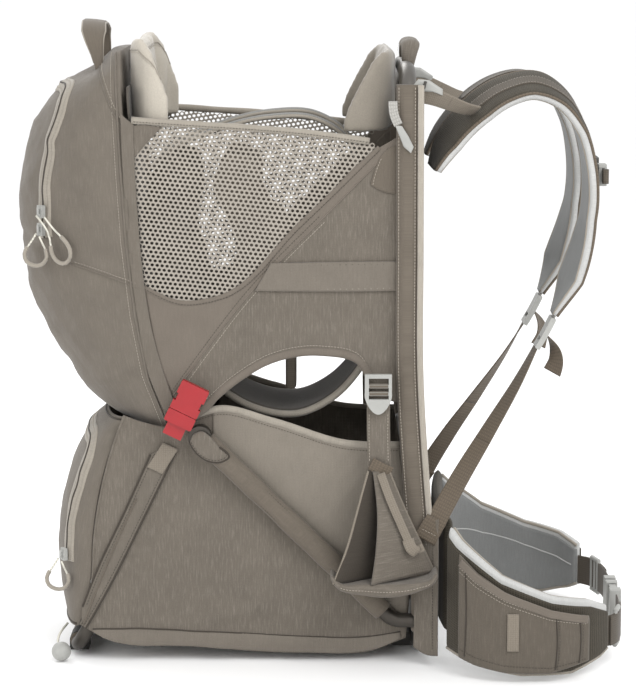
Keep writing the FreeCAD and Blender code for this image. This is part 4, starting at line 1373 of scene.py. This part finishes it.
def stirrups():
    """Webbing through the ladder lock, a cloth cone below it with a lace, and the padded foot bed."""
    web = strap("stirrup_web", mm([(143.4, -28.5, 334), (143.2, -28.7, 300), (143.6, -28.3, 262), (144.2, -27, 224)]),
                (0, 1, 0), 0.026, 0.0018, F_MAIN, n=50)
    wraps = [tube("stirrup_wrap", mm([(148.5, -39.0, z), (148.5, -28, z), (148.5, -18.0, z)]), 0.0030, F_BAND, n=16,
                  sides=12) for z in (315.2, 323.7)]
    hems = [stitches(mm([(145.1, y, 290), (145.0, y, 262), (145.5, y + 0.8, 236)]), OUT, THREAD)
            for y in (-39.0, -18.2)]
    keeper = strap("stirrup_keeper", mm([(147.0, -37, 236), (150.5, -27, 231), (148.0, -15, 225)]), (0, 0.35, 1),
                   0.015, 0.0026, W_BROWN, n=16)
    rear = [(151, -40, 228), (166, -51, 190), (176, -64, 145), (181, -79, 106)]
    fore = [(149, -16, 226), (149, 3, 180), (148, 18, 148), (147, 34, 113)]

    def panel(name, left, right, mat):
        a, b = curve(left, 36), curve(right, 36)
        v = np.linspace(0, 1, 18)[None, :, None]
        p = (a[:, None] * (1 - v) + b[:, None] * v) * MM
        bow = np.sin(np.pi * v[..., 0]) * np.sin(np.pi * np.linspace(0, 1, 36))[:, None]
        p[..., 0] += 0.003 * bow + 0.0012 * soft_noise(p, 30, 3.0)
        return shell(name, p, 0.0018, mat)
    # The cone's rear half is given the dark edge-tape cloth as painted shade for the stirrup's shadowed inside; the
    # fore half keeps the plain pack cloth.
    parts = [web, keeper,
             panel("stirrup_shaded_rear_panel", rear, [(147, -31, 226), (146, -28, 190), (145, -26, 145), (145, -26, 106)],
                   F_EDGE),
             panel("stirrup_fore_panel", [(152, -35, 228), (170, -30, 180), (178, -32, 140), (181, -37, 105)], fore,
                   F_MAIN)]
    parts += [tube("stirrup_rim", mm(line), 0.0013, W_TAUPE) for line in (rear, fore)]
    for line, width, thick, n in (
            ([(154, -26, 226), (166, -16, 200), (168, -4, 172), (166, 8, 144)], 0.0095, 0.0020, 30),
            ([(166.5, 4, 154), (168, 10, 142), (166, 16, 139), (163, 14, 146)], 0.013, 0.0024, 18)):
        parts.append(strap("stirrup_lace", mm(line), (0, 1, 0.45), width, thick, W_TAUPE, n=n))
    on_both(join("stirrup_straps", parts + wraps + hems), "stirrup_", "stirrup_straps", "stirrup_webbing")
    bed = [(-81, 115), (-74, 105), (-42, 99), (-12, 98), (14, 102), (31, 109), (36, 118)]
    place = sampled(bed, 81)
    pad = pillow("stirrup_bed_pad", lambda u, v: np.stack([164 + (2 * u - 1) * 18.4, *place(v)], axis=-1) * MM, 24, 60,
                 0.0098, F_MAIN, r=0.005, extra=lambda u, v: 0.55 + 1.0 * np.sin(np.pi * v) ** 1.5)
    tree, c = bvh_of(pad), curve(bed, 81)
    line = [(-0.25, y * MM, np.interp(y, c[:, 0], c[:, 1]) * MM) for y in np.linspace(-70, 30, 60)]
    row = stitches(lay(tree, line, (-1, 0, 0), 0)[0] + np.array([0.0002, 0, 0]), OUT, THREAD)
    on_both(join("stirrup_bed_pad", [pad, row]), "stirrup_", "stirrup_bed_pad", "stirrup_bed")


for build in (bag_sides, bag_base, bag_rear, back_parts, handles, stirrups):
    build()

# ------------------------------------------------------------------ shoulder harness


def strap_pad(tag, lean):
    """One padded strap; lean, in degrees along its length, turns its outer face outward."""
    path = curve(yz(STRAP, 90), 130)
    n = len(path)
    along = np.linspace(0, 1, n)
    _, s, up = frames(path, (-1, 0, 0))
    a = np.radians(np.interp(along, [0, 0.08, 0.2, 0.36, 0.52, 0.62, 0.74, 0.9, 1], lean))[:, None]
    hint = s * np.cos(a) + up * np.sin(a)
    _, s, up = frames(path, hint)
    w = np.interp(along, [0, 0.08, 0.70, 0.90, 1], [0.94, 1, 1, 0.74, 0.5])
    slack = 1 + 0.03 * np.sin(np.linspace(0, 30, n)) + 0.02 * np.sin(np.linspace(0, 71, n))
    thin = np.interp(along, [0, 0.05, 0.86, 1], [0.7, 1, 1, 0.55])
    parts = [sweep(name, path + up * (raise_by * thin)[:, None], hint, section, mat, scale=np.stack([w, tall], axis=1))
             for name, raise_by, section, mat, tall in (
                 ("strap_foam", 0, flat_section(0.061, 0.0096, 0, 0.004), F_FOAM, thin * slack),
                 ("strap_face", 0.0036, flat_section(0.0585, 0.0040, 0.0007, 0.0028), F_SPACER, slack),
                 ("strap_inner", -0.0043, flat_section(0.050, 0.0036, 0, 0.003), F_BACKING, slack))]
    for side in (-1, 1):
        for out, raise_by, r, mat in ((0.0296, 0.0036, 0.0017, W_BROWN), (0.0255, -0.0050, 0.0012, F_LIGHT)):
            edge = path + s * (out * side * w)[:, None] + up * (raise_by * thin)[:, None]
            parts.append(tube("strap_edge", edge, r, mat, n=n))
    path, s, up, hint = (a[22:104] for a in (path, s, up, hint))
    rail = path + up * 0.0066
    parts.append(sweep("strap_rail", rail, hint, flat_section(0.018, 0.0013), W_DARK))
    parts += [stitches(rail + s * 0.0078 * k + up * 0.0009, up, THREAD) for k in (-1, 1)]
    pad = join("shoulder_strap_pad_" + tag, parts)
    if tag == "L":
        flip(pad)
    cushion(pad, "strap_" + tag, "shoulder_strap_" + tag)


def shoulder_straps():
    strap_pad("R", [6, 20, 26, 20, 0, -3, -5, -26, 0])
    strap_pad("L", [0, -4, -6, -2, 0, 3, 5, 26, 0])
    # flared webbing tail at the adjuster
    tail = strap("strap_tail", mm([(90, 172, 398), (90, 164.5, 386), (90, 158, 374)]), OUT, 0.024, 0.0016, W_LIGHT,
                 n=14)
    hints = np.linspace((1, 0, 0), (0.45, 0.9, 0.3), 24)
    loose = sweep("strap_loose_tail", curve(mm([(90, 162, 372), (92, 170, 358), (95, 172, 343), (94, 168, 330)]), 24),
                  hints, flat_section(0.022, 0.0015), W_BROWN)
    pair(join("strap_tail", [tail, loose]), "strap_", "strap_tail")


def harness_yoke():
    def fn(u, v):
        return np.stack([(2 * u - 1) * 102, 19.3 + 0.6 * np.sin(np.pi * u) + 0 * v, 485.5 + 103 * v], axis=-1) * MM
    parts = [pillow("harness_yoke_cloth", fn, 60, 34, 0.0034, F_SPACER, r=0.003)]
    for v in (0.12, 0.88):
        p, nn = line_on(fn, np.linspace(0.03, 0.97, 80), np.full(80, v))
        p += nn * 0.0020
        p[:, 1] = 0.0216
        parts.append(stitches(p, (0, 1, 0), THREAD))
    whole = join("harness_yoke_cloth", parts)
    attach(whole, "harness")
    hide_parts("harness_yoke")


def split_web(name, path, hints, width, thick, mat):
    """Webbing that crosses two joints: frame to harness in its first half, harness to strap in its second."""
    c, hint = curve(mm(path), 60), curve(hints, 60)
    halves = [sweep(name + part, c[run], hint[run], flat_section(width, thick), mat)
              for part, run in (("_low", slice(0, 31)), ("_high", slice(30, 60)))]
    others = [mirror(o, name + part + "_L") for o, part in zip(halves, ("_low", "_high"))]
    for o, part in zip(halves, ("_low", "_high")):
        o.name = name + part + "_R"
    for tag, (low, high), side in (("R", halves, 1), ("L", others, -1)):
        start, middle, end = (tuple(c[k] * (side, 1, 1)) for k in (0, 30, -1))
        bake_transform(low)
        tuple(start)
        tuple(middle)
        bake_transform(high)
        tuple(middle)
        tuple(end)
    return halves[0]


def harness_webs():
    flat = (0.12, 0.85, -0.5)
    low = split_web("lower_web", [(142, 25, 146), (142, 37, 170), (131, 62, 214), (115, 95, 266), (99, 132, 326),
                                  (90, 151, 362)],
                    [flat, flat, flat, (0.3, 0.82, -0.48), (0.75, 0.55, -0.3), (1, 0.05, 0)], 0.0225, 0.0017, W_BROWN)
    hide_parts("lower_webbings")
    tab = strap("lower_web_tab", mm([(143.6, 23, 148), (143.4, 30, 160), (142.8, 37, 171)]), (0.0, 0.85, -0.5), 0.0245,
                0.0016, W_BROWN, n=12)
    tack = stitches(mm([(144.6, 22, 160), (144.4, 38, 152)]), OUT, THREAD)
    pair(join("lower_web_tab", [tab, tack]), "frame", "lower_web_tab")
    up = (0.25, 0.33, 0.94)
    lift = split_web("lifter_web", [(123.5, 15, 645), (122, 32, 641), (118, 50, 634), (112, 66, 628), (107, 80, 625)],
                     [up, up, (0.35, 0.4, 0.85), (0.6, 0.4, 0.7), (0.8, 0.35, 0.5)], 0.0205, 0.0019, W_TAUPE)
    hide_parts("load_lifters")

    def plate(name, line, x, thick):
        return blob(name, line, lambda a, b: np.stack([x + 0 * a, a, b], axis=-1) * MM, thick, P_LIGHT, smooth=False)
    clip = plate("lifter_clip", [(9, 655), (14, 661), (26, 660), (41, 650), (41, 643), (30, 647), (16, 648)], 125.5,
                 0.0062)
    bar = tube("lifter_bar", mm([(129.4, 20, 651), (129.4, 22, 659)]), 0.0016, P_DARK, n=8)
    gate = plate("side_clip", [(-12, 612), (-4, 611), (3, 600), (9, 588), (6, 581), (-2, 588), (-6, 598)], 140.4,
                 0.0036)
    bridle = strap("side_bridle", mm([(141, -8, 612), (140.8, -13, 625), (139.5, -14, 638)]), (0, 1, 0.2), 0.010,
                   0.0014, W_LIGHT, n=14)
    pair(join("lifter_clip", [clip, bar, gate, bridle]), "frame", "lifter_clip")


def sternum_webs():
    """Chest strap in two halves, each with its rolled end; the right one goes with the released tongue."""
    z = 0.553
    for name, body, side, line in (
            ("right", "sternum_release", 1, [(0.106, 0.2208, z), (0.075, 0.2213, z), (0.04, 0.2212, z - 0.0005),
                                             (0.0139, 0.221, z)]),
            ("left", "sternum", -1, [(-0.106, 0.2208, z), (-0.08, 0.2212, z), (-0.05, 0.2213, z + 0.0004),
                                     (-0.018, 0.221, z)])):
        web = strap("chest_web", line, (0, 0, 1), 0.0148, 0.0015, W_DARK, n=40)
        roll = tube("chest_roll", [(0.113 * side, 0.2225, z - 0.008), (0.113 * side, 0.2225, z + 0.008)], 0.0036,
                    W_DARK, n=8, sides=14)
        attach(join("chest_webbing_" + name, [web, roll]), body)


# ------------------------------------------------------------------ hip belt

WING_TOP = [(44, 176), (62, 154), (107, 120), (162, 97), (205, 88), (234, 72)]
WING_LOW = [(46, 24), (80, 12), (129, 3.4), (184, 3.4), (217, 15), (234, 27)]


def hip_wings():
    fn = wall_fn(WING, shifted(WING_LOW, 0, 1.5), shifted(WING_TOP, 0, -1.5))
    inset = wall_fn(WING, shifted(WING_LOW, 0, 4.5), shifted(WING_TOP, 0, -9.0))

    def moved(d):
        def g(u, v):
            p = inset(u, v)
            n = grid_normals(p)
            return p + facing(n, (n.shape[0] // 2, n.shape[1] // 2), 0) * d * MM
        return g
    parts = [pillow("hip_foam", fn, 90, 44, 0.0104, F_FOAM, r=0.005),
             pillow("hip_outer", moved(3.6), 90, 44, 0.0064, F_SPACER, r=0.004),
             pillow("hip_inner", moved(-3.6), 90, 44, 0.0064, F_BACKING, r=0.004)]
    for v, lift, dz in ((0.0, 0.0042, 0.0022), (0.0, -0.0042, 0.0022), (1.0, -0.0042, -0.0022)):
        p, nn = line_on(fn, np.linspace(0.0, 1.0, 110), np.full(110, v))
        nn = facing(nn, 50, 0) * (1, 1, 0)
        edge = p + nn / np.linalg.norm(nn, axis=1, keepdims=True) * lift + np.array([0, 0, dz])
        parts.append(tube("hip_binding", edge, 0.0020, F_LIGHT, n=110))
    p, nn = line_on(inset, np.linspace(0.03, 0.97, 90), 0.5 + 0.22 * np.sin(np.linspace(0.0, 3.0, 90)))
    parts.append(tube("hip_inner_seam", p + facing(nn, 40, 0, -1) * 0.0068, 0.0009, F_FOAM, n=90, sides=6))
    on_both(join("hip_wing_pad", parts), "hip_", "hip_wing_pad", "hip_wing")


def hip_pockets():
    """Pocket on each wing's outer face, gathered under an elastic top."""
    c = curve(np.column_stack([WING, np.zeros(len(WING))]) * MM, 80)
    path = (c + facing(frames(c, (0, 0, 1))[2], 40, 0) * 0.0134)[:, :2] / MM
    ys = [61, 80, 110, 160, 204]
    fn = wall_fn(path[(path[:, 1] > 60) & (path[:, 1] < 206)], list(zip(ys, (22, 16, 11, 10, 20))),
                 list(zip(ys, (140, 122, 103, 82, 70))))

    def swell(u, v):
        return (1 + 0.22 * np.sin(np.pi * u) * np.sin(np.pi * v) + 0.07 * np.sin(u * 31) * v ** 3
                + 0.05 * np.sin(u * 57 + 1) * v ** 4)
    parts = [pillow("hip_pocket_cloth", fn, 110, 46, 0.0074, F_HIP, r=0.006, extra=swell)]
    tree = bvh_of(parts[0])

    def on_face(us, vs, lift):
        p, n = line_on(fn, us, vs)
        return press(tree, p, facing(n, len(n) // 2, 0), 0.05, 0.02, lift)
    wide = np.linspace(0.03, 0.97, 90)
    p, _ = on_face(wide, np.full(90, 0.955), 0.0006)
    parts.append(sweep("hip_pocket_elastic", p, (0, 0, 1), flat_section(0.009, 0.0022), F_DARK))
    parts += [stitches(*on_face(wide, np.full(90, v), 0.0002), mat)
              for v, mat in ((0.90, THREAD), (0.86, THREAD), (0.10, THREAD_DARK))]
    for u in (0.07, 0.72, 0.90):
        p, n = on_face(u + 0.012 * np.sin(np.linspace(0, 3, 30)), np.linspace(0.06, 0.93, 30), 0.0003)
        parts.append(tube("hip_pocket_seam", p, 0.0009, F_EDGE, n=30, sides=6))
        parts.append(stitches(p + np.array([0, 0.0026, 0]), n, THREAD_DARK))
    p, _ = on_face(np.full(24, 0.42), np.linspace(0.30, 0.78, 24), 0.0012)
    parts.append(sweep("hip_pocket_loop", p, (0, 1, 0), flat_section(0.013, 0.0016), W_TAUPE))
    on_both(join("hip_pocket_cloth", parts), "hip_", "hip_pocket_cloth", "hip_pocket")


def hip_webs():
    """Webbing at the wing's end, doubled back through a glide."""
    c = curve([(147, 224, 42), (130, 239, 42), (100, 247, 42), (70, 250, 42), (46, 251, 42)], 60) * MM
    back = (c + facing(frames(c, (0, 0, 1))[2], 20, 1) * 0.0024)[6:44]
    parts = [sweep("hip_web", c, (0, 0, 1), flat_section(0.0355, 0.0018), W_DARK),
             sweep("hip_web_return", back, (0, 0, 1), flat_section(0.0345, 0.0016), W_DARK)]
    g = curve([(128, 240.5, 42), (118, 243.5, 42), (106, 246.5, 42)], 30) * MM
    half = np.array([0, 0, 0.0195])
    parts += [tube("glide_rail", g + half * k, 0.0028, P_LIGHT, n=30, sides=10) for k in (-1, 1)]
    parts += [tube("glide_bar", [g[i] - half, g[i] + half], 0.0026, P_LIGHT, n=8, sides=10) for i in (1, 15, 28)]
    on_both(join("hip_web", parts), "hip_", "hip_web", "hip_webbing")


def wing_roots():
    """Cloth gussets that carry the hip wings' rear edges to the frame."""
    def out(y, z):
        p = np.stack([np.zeros_like(y), y, z], axis=-1)
        return 0.1350 + 0.46 * np.clip(y - 0.018, 0, 1) + 0.0010 * soft_noise(p, 30, 2.0)
    root = cloth_patch("wing_root", [(12, 22), (26, 14), (39, 14)], [(14, 150), (28, 166), (39, 172)],
                       [(12, 22), (13, 86), (14, 150)], [(39, 14), (39, 94), (39, 172)], 30, 60, F_MAIN, out, 0.0016)
    y, z = np.array([[33, 33, 33], [22, 90, 158]]) * MM
    seam = stitches(np.column_stack([out(y, z) + 0.0010, y, z]), OUT, THREAD_DARK)
    pair(join("wing_root", [root, seam]), "frame", "wing_root")


for build in (shoulder_straps, harness_yoke, harness_webs, sternum_webs, hip_wings, hip_pockets, hip_webs, wing_roots):
    build()

# ------------------------------------------------------------------ stage, light and camera


def aim(ob, at, target):
    ob.location = at
    ob.rotation_euler = (Vector(target) - Vector(at)).to_track_quat("-Z", "Y").to_euler()


def staging():
    me = bpy.data.meshes.new("floor")
    s = 40.0
    me.from_pydata([(-s, -s, 0), (s, -s, 0), (s, s, 0), (-s, s, 0)], [], [(0, 1, 2, 3)])
    floor = add_object("floor", me)
    floor.location.z = -0.0004
    m = Mat("floor_paper", "floor")
    grain = m.noise(m.coords(3, (1, 1, 1)), 900, 2.0)
    m.values(Base_Color=grey(0.97), Roughness=0.9)
    m.bump(grain, 0, 0.03, 0.0002)
    me.materials.append(m.m)
    scene = bpy.context.scene
    world = bpy.data.worlds.new("studio")
    scene.world = world
    world.use_nodes = True
    background = world.node_tree.nodes["Background"]
    background.inputs[0].default_value = (1.0, 1.0, 1.0, 1.0)
    background.inputs[1].default_value = 1.05
    for name, at, target, size, power in (("key", (1.9, 1.1, 2.2), (0, -0.08, 0.35), (1.6, 1.6), 42),
                                          ("fill", (2.1, -1.9, 1.1), (0, -0.08, 0.35), (1.8, 1.4), 18),
                                          ("rim", (-1.6, -0.8, 1.9), (0, -0.08, 0.45), (1.4, 1.0), 22)):
        light = bpy.data.lights.new(name, "AREA")
        light.shape = "RECTANGLE"
        light.size, light.size_y = size
        light.energy = power
        aim(add_object(name, light), at, target)
    cam = bpy.data.cameras.new("camera")
    cam.lens = 134.5
    cam.sensor_width = 36
    cam.clip_end = 50
    scene.camera = add_object("camera", cam)
    aim(scene.camera, (3.0, -0.0958, 0.83), (0, -0.0958, 0.34))
    scene.view_settings.view_transform = "Standard"


staging()
